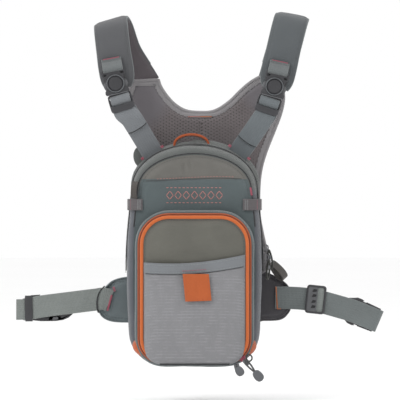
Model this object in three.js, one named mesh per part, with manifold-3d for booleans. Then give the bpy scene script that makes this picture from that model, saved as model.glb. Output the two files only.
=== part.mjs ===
// Fishing chest pack on a padded vest harness: pack, fold-down front pocket, mesh back yoke,
// shoulder straps with side-release buckles, and a waist belt in two arms.
// Millimetres, +Z up, the front of the pack faces -Y. Left and right are as seen from the front.
// The origin is midway between the two shoulder loops, where the wearer carries the harness.
import * as THREE from 'three';
import { mergeVertices } from 'three/addons/utils/BufferGeometryUtils.js';
import Module from 'manifold-3d';

const wasm = await Module();
wasm.setup();

// ---- driving dimensions -------------------------------------------------------------------
const GAP = 0.3;
const WEBBING_WIDTH = 25;
const WEBBING_THICK = 1.6;

const PACK_X = -6;
const PACK_BOTTOM = -363;
const PACK_SPRING_Z = -168;
const PACK_TOP_RISE = 48;
const PACK_TOP_HALF = 68;
const PACK_MID_HALF = 74;
const PACK_MID_Z = -240;
const PACK_LOW_HALF = 72;
const PACK_BOTTOM_RADIUS = 38;

const BACK_PAD_DEPTH = 8;
const REAR_DEPTH = 26;
const LID_FRONT_Y = -46;
const GUSSET_FRONT_Y = -63;
const TAPE_THICK = 1.7;
const PANEL_FRONT_Y = -66.5;
const POUCH_FRONT_Y = -74;
const SHELL_WALL = 2;

const POCKET_HALF = 64;
const POCKET_TOP = -192.5;
const POCKET_BOTTOM = -361;
const POCKET_TOP_RADIUS = 36;
const POCKET_BOTTOM_RADIUS = 24;
const POUCH_TOP = -248.6;
const PANEL_BOTTOM = -354;
const POUCH_BOTTOM = -352;
const MAIN_TAPE_BOTTOM = -262;
const OUTER_TAPE_BOTTOM = -346;
const INNER_TAPE_BOTTOM = -350;

const YOKE_Y = 22;
const YOKE_THICK = 9;
const YOKE_TOP_X = 2;
const YOKE_TOP_Z = -40;
const YOKE_LOW_Z = -318;

const STRAP_WIDTH = 37;
const STRAP_THICK = 8;
const BUCKLE_Y = -24.6;
const BELT_Y = 20.8;

// One shoulder side each: the strap's centre line, the lean of its width, its buckle and its webbing.
const SHOULDERS = {
  left: {
    path: [[-88, -14, -66], [-91.5, -15.5, -42], [-95.5, -15.5, -14], [-98, -10, 5],
      [-98, 3, 13], [-92.5, 16, 5], [-82.8, 25.3, -18.6], [-61.7, 26.5, -49.9]],
    lean: [8, 8, 8, 12, 17, 26, 34.3, 34.3],
    buckle: [-93, -51.7],
    tilt: -13,
    webbing: [[-82.2, BUCKLE_Y, -90.3], [-70, -19.5, -109.8], [-55.1, -9, -133.4]],
    tailShare: 0.42,
  },
  right: {
    path: [[81, -14, -64], [87, -15.5, -36], [94, -15, -6], [99.5, -9, 12.5],
      [102, 3, 17.5], [99.5, 16, 9], [92.2, 25.4, -15.1], [82.2, 26.5, -49.7]],
    lean: [-13, -13, -13, -13, -14, -15, -16.05, -16.05],
    buckle: [82, -55],
    tilt: 15,
    webbing: [[70.1, BUCKLE_Y, -93.2], [56.3, -19.5, -112.4], [41.4, -9, -132.5]],
    tailShare: 0.66,
  },
};

// ---- materials ----------------------------------------------------------------------------
function cloth(color, roughness = 0.85) {
  return new THREE.MeshStandardMaterial({ color, roughness, metalness: 0 });
}

const mainNylon = cloth('#6c7475');
const sideNylon = cloth('#64656c');
const ripstop = cloth('#8e8e94');
const orangeTape = cloth('#d9713a', 0.7);
const orangeTab = cloth('#c8693a', 0.6);
const webbing = cloth('#858a88', 0.75);
const spacerMesh = cloth('#6b6464', 0.95);
const darkCord = cloth('#45463f', 0.8);
const blackPlastic = new THREE.MeshStandardMaterial({ color: '#3c3c40', roughness: 0.45, metalness: 0 });
const pullRubber = new THREE.MeshStandardMaterial({ color: '#687078', roughness: 0.6, metalness: 0 });
const zipperMetal = new THREE.MeshStandardMaterial({ color: '#5a5a5c', roughness: 0.35, metalness: 0.8 });

// ---- solid helpers ------------------------------------------------------------------------
function toManifold(geometry) {
  const bare = geometry.clone();
  bare.deleteAttribute('normal');
  bare.deleteAttribute('uv');
  const merged = mergeVertices(bare, 1e-4);
  const vertProperties = new Float32Array(merged.attributes.position.array);
  const triVerts = new Uint32Array(merged.index.array);
  return new wasm.Manifold(new wasm.Mesh({ numProp: 3, vertProperties, triVerts }));
}

function fromManifold(manifold) {
  const mesh = manifold.getMesh();
  const geometry = new THREE.BufferGeometry();
  geometry.setAttribute('position', new THREE.BufferAttribute(mesh.vertProperties, 3));
  geometry.setIndex(new THREE.BufferAttribute(mesh.triVerts, 1));
  return geometry;
}

function cut(body, ...tools) {
  return fromManifold(tools.reduce((rest, tool) => rest.subtract(toManifold(tool)), toManifold(body)));
}

function join(body, ...others) {
  return fromManifold(others.reduce((sum, other) => sum.add(toManifold(other)), toManifold(body)));
}

function common(body, other) {
  return fromManifold(toManifold(body).intersect(toManifold(other)));
}

// A box between two corners.
function block(low, high) {
  const box = new THREE.BoxGeometry(high[0] - low[0], high[1] - low[1], high[2] - low[2]);
  return box.translate((low[0] + high[0]) / 2, (low[1] + high[1]) / 2, (low[2] + high[2]) / 2);
}

// Everything above one height and below another, as a tool for common().
function slab(lowZ, highZ) {
  return block([-400, -200, lowZ], [400, 200, highZ]);
}

// An outline in the XZ plane, extruded from its back face towards the front.
function plate(shape, backY, frontY, bevel = 0, curveSegments = 3) {
  const options = { depth: backY - frontY - 2 * bevel, bevelEnabled: bevel > 0, curveSegments };
  Object.assign(options, { bevelThickness: bevel, bevelSize: bevel, bevelOffset: -bevel, bevelSegments: 1 });
  const geometry = new THREE.ExtrudeGeometry(shape, options);
  return geometry.rotateX(Math.PI / 2).translate(0, backY - bevel, 0);
}

function polygon(points) {
  return new THREE.Shape(points.map(([x, z]) => new THREE.Vector2(x, z)));
}

function roundedRectangle(halfX, lowZ, highZ, radius) {
  const shape = new THREE.Shape();
  shape.absarc(halfX - radius, lowZ + radius, radius, -Math.PI / 2, 0);
  shape.absarc(halfX - radius, highZ - radius, radius, 0, Math.PI / 2);
  shape.absarc(-halfX + radius, highZ - radius, radius, Math.PI / 2, Math.PI);
  shape.absarc(-halfX + radius, lowZ + radius, radius, Math.PI, 1.5 * Math.PI);
  return shape;
}

// Points of an elliptical arc, in degrees counterclockwise from +X.
function arc(centreX, centreZ, radiusX, radiusZ, from, to, steps) {
  const points = [];
  for (let i = 0; i <= steps; i += 1) {
    const angle = THREE.MathUtils.degToRad(from + ((to - from) * i) / steps);
    points.push([centreX + radiusX * Math.cos(angle), centreZ + radiusZ * Math.sin(angle)]);
  }
  return points;
}

// Closes a right-hand half outline, given from its bottom to its top, with its mirror image.
function mirrored(half) {
  const left = half.map(([x, z]) => [-x, z]).reverse();
  return half.concat(left.filter(([x]) => Math.abs(x) > 1e-6));
}

// A closed body through convex outlines: sections run from front to back as [y, ...insets].
function loft(outline, sections) {
  const rings = sections.map(([, ...insets]) => outline(...insets));
  const count = rings[0].length;
  const middleZ = rings[0].reduce((sum, [, z]) => sum + z, 0) / count;
  const geometry = new THREE.CylinderGeometry(1, 1, 1, count, sections.length - 1);
  const position = geometry.attributes.position;
  for (let i = 0; i < position.count; i += 1) {
    const row = Math.round((0.5 - position.getY(i)) * (sections.length - 1));
    const onAxis = Math.hypot(position.getX(i), position.getZ(i)) < 0.5;
    const turn = Math.atan2(position.getX(i), position.getZ(i)) / (2 * Math.PI);
    const step = Math.round(turn * count + count) % count;
    const [x, z] = onAxis ? [0, middleZ] : rings[row][step];
    position.setXYZ(i, x, sections[row][0], z);
  }
  return geometry;
}

// A flat or crowned strip along a curve; lean is its width's angle from +X in the XZ plane.
function ribbon(points, lean, width, thickness, steps, edge = 1) {
  const path = new THREE.CatmullRomCurve3(points.map((point) => new THREE.Vector3(...point)));
  const geometry = new THREE.BoxGeometry(width, thickness, 1, edge < 1 ? 4 : 1, 1, steps);
  const position = geometry.attributes.position;
  for (let i = 0; i < position.count; i += 1) {
    const along = position.getZ(i) + 0.5;
    const across = position.getX(i);
    const tangent = path.getTangent(along);
    const side = leanAt(lean, along);
    side.addScaledVector(tangent, -side.dot(tangent)).normalize();
    const outward = tangent.clone().cross(side);
    const crown = 1 - (1 - edge) * ((2 * across) / width) ** 2;
    const point = path.getPoint(along).addScaledVector(side, across);
    point.addScaledVector(outward, position.getY(i) * crown);
    position.setXYZ(i, point.x, point.y, point.z);
  }
  return geometry;
}

function leanAt(lean, along) {
  const place = along * (lean.length - 1);
  const before = Math.min(Math.floor(place), lean.length - 2);
  const angle = THREE.MathUtils.degToRad(THREE.MathUtils.lerp(lean[before], lean[before + 1], place - before));
  return new THREE.Vector3(Math.cos(angle), 0, Math.sin(angle));
}

function addMesh(parent, name, geometry, material) {
  const mesh = new THREE.Mesh(geometry, material);
  mesh.name = name;
  parent.add(mesh);
  return mesh;
}

function turnedGroup(parent, origin, tiltDegrees) {
  const group = new THREE.Group();
  group.position.set(...origin);
  group.rotation.y = THREE.MathUtils.degToRad(tiltDegrees);
  parent.add(group);
  return group;
}

// ---- outlines -----------------------------------------------------------------------------
// The pack from the front: rounded bottom, slightly bulged sides and an arched top.
function packOutline(top = 0, side = top, bottom = side) {
  const radius = PACK_BOTTOM_RADIUS - (side + bottom) / 2;
  const cornerX = PACK_LOW_HALF - side - radius;
  const cornerZ = PACK_BOTTOM + bottom + radius;
  const half = arc(cornerX, cornerZ, radius, radius, -90, 0, 6);
  half.push([PACK_MID_HALF - side, PACK_MID_Z]);
  half.push(...arc(0, PACK_SPRING_Z, PACK_TOP_HALF - side, PACK_TOP_RISE - top, 0, 90, 9));
  return mirrored(half);
}

// The front pocket, its corners round.
function pocketOutline(inset = 0) {
  const low = POCKET_BOTTOM_RADIUS - inset;
  const high = POCKET_TOP_RADIUS - inset;
  const lowX = POCKET_HALF - POCKET_BOTTOM_RADIUS;
  const highX = POCKET_HALF - POCKET_TOP_RADIUS;
  const half = arc(lowX, POCKET_BOTTOM + POCKET_BOTTOM_RADIUS, low, low, -90, 0, 5);
  half.push(...arc(highX, POCKET_TOP - POCKET_TOP_RADIUS, high, high, 0, 90, 6));
  return mirrored(half);
}

// The harness leans a little: its shoulders sit over the origin and its foot behind the pack.
function yokeCentre(z) {
  return THREE.MathUtils.mapLinear(z, YOKE_TOP_Z, YOKE_LOW_Z, YOKE_TOP_X, PACK_X);
}

// Its right shoulder sits further out than its left, and its left edge hides behind the pack.
function yokeOutline() {
  const right = [[60, -320], [78, -318], [84, -310], [84, -266], [82.5, -250], [78, -234], [73, -214],
    [69.5, -196], [68.5, -170], [70, -148], [75, -128], [83, -106], [91, -86], [96, -70],
    [98.5, -55.5], [62, -45], [54, -49], [43, -58], [30, -71], [15, -80.5], [0, -82]];
  const left = [[17, -80], [31, -71], [43, -56], [47.5, -40], [78.5, -61], [86, -74], [84, -88],
    [75, -106], [67.5, -128], [65, -148], [65, -170], [66.5, -196], [70, -214], [73.5, -234],
    [76, -250], [80, -261], [84, -269], [84, -310], [78, -318], [60, -320]];
  return right.concat(left.map(([x, z]) => [-x, z])).map(([x, z]) => [x + yokeCentre(z), z]);
}

// ---- pack ---------------------------------------------------------------------------------
function backPanel() {
  const outline = (inset) => packOutline(inset);
  return loft(outline, [[GAP, 1.5], [3, 0.5], [6, 0.8], [BACK_PAD_DEPTH, 3.5]]);
}

function rearShell() {
  const outer = loft(packOutline, [[-REAR_DEPTH, 0], [-5, 0], [-1.5, 1.2], [0, 3.5]]);
  const wall = SHELL_WALL;
  const inner = loft(packOutline, [[-REAR_DEPTH - 1, wall], [-6, wall], [-wall - 0.2, wall + 3]]);
  return cut(outer, inner);
}

function lidShell() {
  const front = LID_FRONT_Y;
  const wall = SHELL_WALL;
  const back = -REAR_DEPTH - GAP - 0.2;
  const outer = loft(packOutline, [[front, 11, 7, 1.5], [front + 1.2, 6.5, 3.8, 1],
    [front + 5, 2.5, 1.4, 0.4], [front + 11, 0.4, 0.2, 0], [back, 0, 0, 0]]);
  const inner = loft(packOutline, [[front + wall, 12.5, 8.5, 3.5], [front + wall + 1.4, 8.3, 5.7, 3],
    [front + wall + 5, 4.5, 3.5, 2.4], [front + wall + 11, 2.4, 2.2, 2], [back + 1, 2, 2, 2]]);
  return cut(outer, inner);
}

// A zipper tape round the pack's sides and top, down to its lower ends.
function mainTape(backY, frontY) {
  const outer = loft(packOutline, [[frontY, -GAP - 1.4], [backY, -GAP - 1.4]]);
  const inner = loft(packOutline, [[frontY - 1, -GAP], [backY + 1, -GAP]]);
  return common(cut(outer, inner), slab(MAIN_TAPE_BOTTOM, 0));
}

function pocketGusset() {
  const outer = loft(pocketOutline, [[GUSSET_FRONT_Y, 0.8], [GUSSET_FRONT_Y + 3, 0], [LID_FRONT_Y - GAP, 0]]);
  const inner = loft(pocketOutline, [[GUSSET_FRONT_Y - 1, 2.8], [LID_FRONT_Y + 1, 2]]);
  return cut(outer, inner);
}

// A zipper tape round the pocket between two insets, open along the pocket's foot.
function pocketTape(outerInset, innerInset, backY, lowZ) {
  const outer = loft(pocketOutline, [[backY - TAPE_THICK, outerInset], [backY, outerInset]]);
  const inner = loft(pocketOutline, [[backY - TAPE_THICK - 1, innerInset], [backY + 1, innerInset]]);
  return common(cut(outer, inner), slab(lowZ, 0));
}

function frontPanel() {
  const panel = loft(pocketOutline, [[PANEL_FRONT_Y, 4.6], [GUSSET_FRONT_Y - GAP, 4.4]]);
  return common(panel, slab(PANEL_BOTTOM, 0));
}

// The ripstop pouch: front and side walls, open at its top and backed by the front panel.
function ripstopPouch() {
  const back = PANEL_FRONT_Y - GAP;
  const outer = loft(pocketOutline, [[POUCH_FRONT_Y, 11.5], [POUCH_FRONT_Y + 2, 8.8], [back, 8.4]]);
  const inner = loft(pocketOutline, [[POUCH_FRONT_Y + 1.6, 12], [back + 1, 10]]);
  const walls = common(outer, slab(POUCH_BOTTOM, POUCH_TOP));
  return cut(walls, common(inner, slab(POUCH_BOTTOM + 2, 0)));
}

// The orange tab hangs from the pouch's hem, drifting a little to the right.
function pullTab() {
  const shape = polygon([[-14.4, -262], [-10.5, -291], [-8.5, -292.5], [17, -292], [18.6, -290],
    [16.8, -262]]);
  return plate(shape, POUCH_FRONT_Y - 0.5, POUCH_FRONT_Y - 2.7);
}

// An orange wedge that fills the corner between the lid and the pocket.
function cornerGusset(side) {
  const shape = polygon([[POCKET_HALF + 0.5, 0], [POCKET_HALF + 4.4, 0], [POCKET_HALF + 0.5, -15]]
    .map(([x, y]) => [side * x, y + LID_FRONT_Y - 0.4]));
  return new THREE.ExtrudeGeometry(shape, { depth: 18, bevelEnabled: false }).translate(0, 0, -346);
}

// A webbing tab that wraps from the lid's side on to its front.
function toolTab(side) {
  const path = [[73.4, -33], [73, -38.5], [71.8, -43.6], [68, -47.4], [62, -48.3], [55, -48.3]];
  const points = path.map(([x, y]) => new THREE.Vector3(side * x, y, -185.3));
  const curve = new THREE.CatmullRomCurve3(points);
  const geometry = new THREE.BoxGeometry(15, WEBBING_THICK, 1, 1, 1, 10);
  const position = geometry.attributes.position;
  for (let i = 0; i < position.count; i += 1) {
    const along = position.getZ(i) + 0.5;
    const up = new THREE.Vector3(0, 0, 1);
    const outward = curve.getTangent(along).cross(up);
    const point = curve.getPoint(along).addScaledVector(up, position.getX(i));
    point.addScaledVector(outward, position.getY(i));
    position.setXYZ(i, point.x, point.y, point.z);
  }
  return geometry;
}

// The carrying loop: a strip bent into an arch over the pack's top.
function haulLoop() {
  const arch = [[-20, -120.6], [-17, -114.5], [-9, -109.4], [0, -108.4], [9, -109.4], [17, -114.5], [20, -120.6]];
  const curve = new THREE.CatmullRomCurve3(arch.map(([x, z]) => new THREE.Vector3(x - 3.5, -6, z)));
  const geometry = new THREE.BoxGeometry(10, 2.4, 1, 1, 1, 14);
  const position = geometry.attributes.position;
  for (let i = 0; i < position.count; i += 1) {
    const along = position.getZ(i) + 0.5;
    const across = new THREE.Vector3(0, 1, 0);
    const outward = curve.getTangent(along).cross(across);
    const point = curve.getPoint(along).addScaledVector(across, position.getX(i));
    point.addScaledVector(outward, position.getY(i));
    position.setXYZ(i, point.x, point.y, point.z);
  }
  return geometry;
}

// A zipper slider: a body with a bridge for its pull, flat on its back.
function sliderBody(length, width, height) {
  const body = plate(roundedRectangle(width / 2, -length / 2, length / 2, 1.2), 0, -height, 0.5);
  const bridge = block([-0.8, -height - 1.2, -length / 2 + 1.4], [0.8, -height + 0.2, length / 2 - 1.4]);
  return join(body, bridge);
}

// A moulded teardrop pull on its short stem, hanging from the top.
function teardropPull(length) {
  const drop = new THREE.Shape();
  drop.moveTo(-1.1, 0);
  drop.lineTo(-1.1, -length * 0.4);
  drop.absarc(0, -length + 4.8, 4.8, THREE.MathUtils.degToRad(140), THREE.MathUtils.degToRad(400));
  drop.lineTo(1.1, -length * 0.4);
  drop.lineTo(1.1, 0);
  return plate(drop, 1.2, -1.2, 0, 6);
}

// A cord pull: a doubled cord pressed into a flat strip.
function cordPull(end) {
  const points = [[0, 0, 0], [end[0] * 0.5 + 0.6, end[1] * 0.5, end[2] * 0.5], end];
  return ribbon(points, [0, 0, 0], 4.6, 2.4, 6);
}

function buildPack(parent) {
  const pack = turnedGroup(parent, [PACK_X, 0, 0], 0);
  const rearTapeFront = -REAR_DEPTH;
  const lidTapeBack = -REAR_DEPTH - GAP - 0.2;
  const outerTapeBack = GUSSET_FRONT_Y - GAP;
  addMesh(pack, 'back_panel', backPanel(), mainNylon);
  addMesh(pack, 'rear_shell', rearShell(), sideNylon);
  addMesh(pack, 'frame_sheet', loft(packOutline, [[-4, 7], [-2.6, 7]]), blackPlastic);
  addMesh(pack, 'inner_divider', common(loft(packOutline, [[-13.2, 3], [-12, 3]]), slab(-400, -190)), sideNylon);
  addMesh(pack, 'main_tape_rear', mainTape(rearTapeFront + 5, rearTapeFront), darkCord);
  addMesh(pack, 'lid_shell', lidShell(), mainNylon);
  addMesh(pack, 'main_tape_lid', mainTape(lidTapeBack, lidTapeBack - 4.5), darkCord);
  addMesh(pack, 'pocket_gusset', pocketGusset(), sideNylon);
  addMesh(pack, 'pocket_tape_outer', pocketTape(0.9, 4.1, outerTapeBack, OUTER_TAPE_BOTTOM), orangeTape);
  addMesh(pack, 'front_panel', frontPanel(), mainNylon);
  const innerTape = pocketTape(4.8, 7.6, PANEL_FRONT_Y - GAP, INNER_TAPE_BOTTOM);
  addMesh(pack, 'pocket_tape_inner', innerTape, orangeTape);
  addMesh(pack, 'ripstop_pouch', ripstopPouch(), ripstop);
  addMesh(pack, 'pull_tab', pullTab(), orangeTab);
  addMesh(pack, 'haul_loop', haulLoop(), orangeTab);
  for (const [name, side] of [['left', -1], ['right', 1]]) {
    addMesh(pack, `corner_gusset_${name}`, cornerGusset(side), orangeTape);
    addMesh(pack, `tool_tab_${name}`, toolTab(side), webbing);
  }
}

// Both sliders of each zipper, with the pull that hangs from each.
function buildSliders(parent) {
  const sideX = PACK_X + PACK_MID_HALF + 2.2;
  const cords = { upper: [-233, [5.5, 13, -22]], lower: [-243.5, [2, 1, -23]] };
  for (const [name, [z, reach]] of Object.entries(cords)) {
    const onSide = turnedGroup(parent, [sideX, -REAR_DEPTH - 0.4, z], 0);
    const turned = new THREE.Group();
    turned.rotation.z = Math.PI / 2;
    onSide.add(turned);
    addMesh(turned, `main_slider_${name}`, sliderBody(9, 7.4, 2.6), zipperMetal);
    const pull = turnedGroup(onSide, [5.8, name === 'upper' ? 2.5 : -2.5, -3], 0);
    addMesh(pull, `main_pull_${name}`, cordPull(reach), darkCord);
  }
  const arcX = PACK_X + POCKET_HALF - POCKET_BOTTOM_RADIUS;
  const arcZ = POCKET_BOTTOM + POCKET_BOTTOM_RADIUS;
  const radius = POCKET_BOTTOM_RADIUS + 1.8;
  const places = { right: [-50, -22, 22], left: [-76, 0, 13] };
  for (const [name, [angle, swing, length]] of Object.entries(places)) {
    const turn = THREE.MathUtils.degToRad(angle);
    const centre = [arcX + radius * Math.cos(turn), -65.5, arcZ + radius * Math.sin(turn)];
    const onCorner = turnedGroup(parent, centre, 90 - angle);
    addMesh(onCorner, `pocket_slider_${name}`, sliderBody(8, 6.4, 2.4), zipperMetal);
    const pull = turnedGroup(parent, [centre[0], centre[1] - 5.2, centre[2]], swing);
    addMesh(pull, `pocket_pull_${name}`, teardropPull(length), pullRubber);
  }
}

// ---- harness ------------------------------------------------------------------------------
// The webbing that holds the buckle, folded double and sewn on the strap's face.
function strapAnchor() {
  return plate(roundedRectangle(11, 13.2, 28, 0.8), 4.2, 0.8);
}

function buckleFemale() {
  const body = plate(roundedRectangle(13, -12, 12.6, 4), 4.2, -4.2, 0.8);
  const boss = new THREE.CylinderGeometry(7.6, 8.2, 2, 16).translate(0, -4.6, 0);
  const slot = block([-10, -5, 8.2], [10, 5, 10.6]);
  const cavity = block([-9.6, -2.9, -13], [9.6, 2.9, 5]);
  const windows = block([-14, -2.8, -6.4], [14, 2.8, 3.8]);
  return cut(join(body, boss), slot, cavity, windows);
}

function buckleMale() {
  const base = plate(roundedRectangle(13.5, -34, -12.6, 2.5), 3.4, -3.4, 0.7);
  const tongue = block([-4.1, -2, -14], [4.1, 2, 2]);
  const slots = [block([-11, -5, -20.5], [11, 5, -16.5]), block([-11, -5, -29], [11, 5, -24.5])];
  return cut(join(base, tongue), ...slots);
}

function bucklePress(side) {
  const shape = polygon([[6.8, -12.2], [8.7, -12.2], [9.2, -6], [12.6, -5.6], [12.6, 1.2], [10.4, 3],
    [8.2, 3], [6.8, -5]].map(([x, z]) => [side * x, z]));
  return plate(shape, 2.3, -2.3);
}

function buildShoulder(parent, name, shoulder) {
  const strap = ribbon(shoulder.path, shoulder.lean, STRAP_WIDTH, STRAP_THICK, 18, 0.55);
  addMesh(parent, `shoulder_strap_${name}`, strap, mainNylon);
  const buckle = turnedGroup(parent, [shoulder.buckle[0], BUCKLE_Y, shoulder.buckle[1]], shoulder.tilt);
  addMesh(buckle, `strap_anchor_${name}`, strapAnchor(), webbing);
  addMesh(buckle, `strap_buckle_female_${name}`, buckleFemale(), blackPlastic);
  addMesh(buckle, `strap_buckle_male_${name}`, buckleMale(), blackPlastic);
  addMesh(buckle, `strap_prong_${name}_inner`, bucklePress(name === 'left' ? 1 : -1), blackPlastic);
  addMesh(buckle, `strap_prong_${name}_outer`, bucklePress(name === 'left' ? -1 : 1), blackPlastic);
  const lean = [shoulder.tilt < 0 ? 30 : -32];
  lean.push(lean[0]);
  addMesh(parent, `adjuster_${name}`, ribbon(shoulder.webbing, lean, 24, WEBBING_THICK, 8), webbing);
  addMesh(parent, `adjuster_tail_${name}`, adjusterTail(shoulder, lean), webbing);
}

// The loose end of the adjuster lies on its front, from the buckle to part of the way down.
function adjusterTail(shoulder, lean) {
  const whole = new THREE.CatmullRomCurve3(shoulder.webbing.map((point) => new THREE.Vector3(...point)));
  const points = [0, 0.5, 1].map((step) => whole.getPoint(step * shoulder.tailShare));
  return ribbon(points.map((point) => [point.x, point.y - 2.6, point.z]), lean, 24, WEBBING_THICK, 4);
}

function buildYoke(parent) {
  const yoke = plate(polygon(yokeOutline()), YOKE_Y + YOKE_THICK, YOKE_Y, 1.5);
  addMesh(parent, 'back_yoke', yoke, spacerMesh);
}

// A padded wing: from the yoke's foot to the belt.
function wing(side) {
  const inner = side < 0 ? -90.8 : 80.4;
  const points = [[0, -316], [10, -314.5], [17, -309], [20.5, -301], [20.5, -292], [18.5, -284],
    [14, -274.5], [8, -268.5], [0, -266]];
  const reach = side < 0 ? 1.1 : 1;
  const shape = polygon(points.map(([x, z]) => [inner + side * reach * x, z]));
  return plate(shape, YOKE_Y + YOKE_THICK, YOKE_Y, 1.5);
}

function sideLoop() {
  const shape = new THREE.Shape();
  shape.absellipse(0, 0, 10.5, 6.8, 0, 2 * Math.PI);
  const hole = new THREE.Path();
  hole.absellipse(0, 0, 8.6, 4.9, 0, 2 * Math.PI);
  shape.holes.push(hole);
  return plate(shape, 5, -5, 0, 8);
}

// ---- waist belt ---------------------------------------------------------------------------
function belt(points, lean, steps) {
  const path = points.map(([x, z, y = BELT_Y]) => [x, y, z]);
  return ribbon(path, lean, WEBBING_WIDTH, WEBBING_THICK, steps);
}

// The socket half: a ring round the webbing, and the body behind it.
function beltBuckleFemale() {
  const ring = plate(roundedRectangle(4.5, -15, 15, 2), 3.4, -3.4, 0.6);
  const passage = block([-6, -1.5, -13.4], [6, 1.5, 13.4]);
  const body = plate(polygon([[3, -14.5], [40, -16], [44, -13], [44, 11], [40, 14], [3, 12.5]]), 10.2, 2, 0.8);
  const cavity = block([12, 3.8, -11], [46, 8.4, 9]);
  const windows = block([20, 3.9, -18], [34, 8.3, 16]);
  return cut(join(cut(ring, passage), body), cavity, windows);
}

// The plug half: a bar that the webbing folds round, two arms, a body and a tongue.
function beltBuckleMale() {
  const bar = block([-1.4, -1.4, -15.4], [1.4, 1.4, 15.4]);
  const arms = [-1, 1].map((side) => {
    const edges = [13.4 * side, 15.6 * side].sort((a, b) => a - b);
    return block([-12, -1.6, edges[0]], [1.6, 1.8, edges[1]]);
  });
  const base = plate(roundedRectangle(7, -15.6, 15.6, 2), 5.8, -2.2, 0.6).translate(-15.8, 0, 0);
  const tongue = block([-38, 0.2, -3.6], [-20, 3.6, 3.6]);
  return join(bar, ...arms, base, tongue);
}

function beltProng(side) {
  const shape = polygon([[-23.1, 10], [-23.1, 13], [-30, 14], [-31, 15.4], [-37, 14.6], [-39, 10.6],
    [-31, 9.4]].map(([x, z]) => [x, side * z]));
  return plate(shape, 4, -0.2);
}

// The three-bar slider, as a sleeve with two windows on its face.
function triGlide() {
  const body = plate(roundedRectangle(11.5, -16, 16, 3), 3, -3.6, 0.8);
  const passage = block([-14, -1.5, -14.1], [14, 1.5, 14.1]);
  const windows = [block([-6.4, -5, -10.5], [-2.2, 0, 10.5]), block([2, -5, -11.5], [7.6, 0, 11.5])];
  return cut(body, passage, ...windows);
}

function buildBelt(parent) {
  addMesh(parent, 'wing_left', wing(-1), mainNylon);
  addMesh(parent, 'wing_right', wing(1), mainNylon);
  addMesh(parent, 'wing_tab_left', belt([[-95.5, -288.5], [-105, -289.7], [-114.2, -290.9]], [97, 97], 3), webbing);
  addMesh(parent, 'wing_tab_right', belt([[83.5, -288.1], [92, -288.6], [101.3, -289.1]], [87, 87], 3), webbing);
  const leftPath = [[-114.8, -291], [-137, -293.8], [-165, -297.4], [-203, -302.5]];
  addMesh(parent, 'belt_left', belt(leftPath, [97.2, 97.4, 97.5], 12), webbing);
  const rightPath = [[101.9, -289.1], [114, -290.1], [127, -292], [140, -295.1], [154, -299], [168, -303.2],
    [182, -308.6], [194.2, -313.7], [198.2, -315.4, BELT_Y + 4], [194.2, -313.7, BELT_Y + 8]];
  const rightLean = [86.4, 84, 79, 75, 73.5, 70, 67.1, 67.1, 67.1, 67.1];
  addMesh(parent, 'belt_right', belt(rightPath, rightLean, 36), webbing);
  const socket = turnedGroup(parent, [-190, BELT_Y, -300.7], -7.5);
  addMesh(socket, 'belt_buckle_female', beltBuckleFemale(), blackPlastic);
  const slider = turnedGroup(parent, [127.6, BELT_Y, -292.1], 10.5);
  addMesh(slider, 'belt_triglide', triGlide(), blackPlastic);
  const plug = turnedGroup(parent, [194.2, BELT_Y + 4, -313.7], 22.9);
  addMesh(plug, 'belt_buckle_male', beltBuckleMale(), blackPlastic);
  addMesh(plug, 'belt_prong_upper', beltProng(1), blackPlastic);
  addMesh(plug, 'belt_prong_lower', beltProng(-1), blackPlastic);
  const loop = turnedGroup(parent, [88.5, 15.5, -259], 42);
  addMesh(loop, 'side_loop', sideLoop(), webbing);
}

// ---- assembly -----------------------------------------------------------------------------
const group = new THREE.Group();
buildPack(group);
buildSliders(group);
buildYoke(group);
buildShoulder(group, 'left', SHOULDERS.left);
buildShoulder(group, 'right', SHOULDERS.right);
buildBelt(group);

export default group;
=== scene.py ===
"""Fishing chest pack on a vest harness: the looks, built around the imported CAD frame.

Helpers take millimetres in the row frame and make meshes in metres.
Left and right are as seen from the front, which faces -Y.
"""
import math

import bmesh
import bpy
import numpy as np
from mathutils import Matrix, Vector, noise
from mathutils.bvhtree import BVHTree


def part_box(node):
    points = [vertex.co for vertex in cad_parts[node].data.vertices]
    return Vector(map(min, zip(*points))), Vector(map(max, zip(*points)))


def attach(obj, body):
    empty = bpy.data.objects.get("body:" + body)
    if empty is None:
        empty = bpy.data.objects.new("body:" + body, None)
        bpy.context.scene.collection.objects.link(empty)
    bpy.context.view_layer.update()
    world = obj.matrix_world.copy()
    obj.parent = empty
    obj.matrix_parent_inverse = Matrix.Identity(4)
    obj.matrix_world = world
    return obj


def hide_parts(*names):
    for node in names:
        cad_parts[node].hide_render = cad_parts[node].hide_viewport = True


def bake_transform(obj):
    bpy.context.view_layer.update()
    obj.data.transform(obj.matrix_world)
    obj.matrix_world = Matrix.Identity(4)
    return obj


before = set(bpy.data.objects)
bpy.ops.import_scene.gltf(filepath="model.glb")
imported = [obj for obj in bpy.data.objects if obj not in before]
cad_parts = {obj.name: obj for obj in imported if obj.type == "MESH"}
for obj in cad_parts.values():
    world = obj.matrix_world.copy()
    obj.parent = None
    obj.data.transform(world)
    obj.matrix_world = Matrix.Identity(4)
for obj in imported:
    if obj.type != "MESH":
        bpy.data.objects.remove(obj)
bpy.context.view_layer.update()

MM = 0.001


def box_mm(node):
    low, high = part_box(node)
    return np.array(low) / MM, np.array(high) / MM


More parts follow.
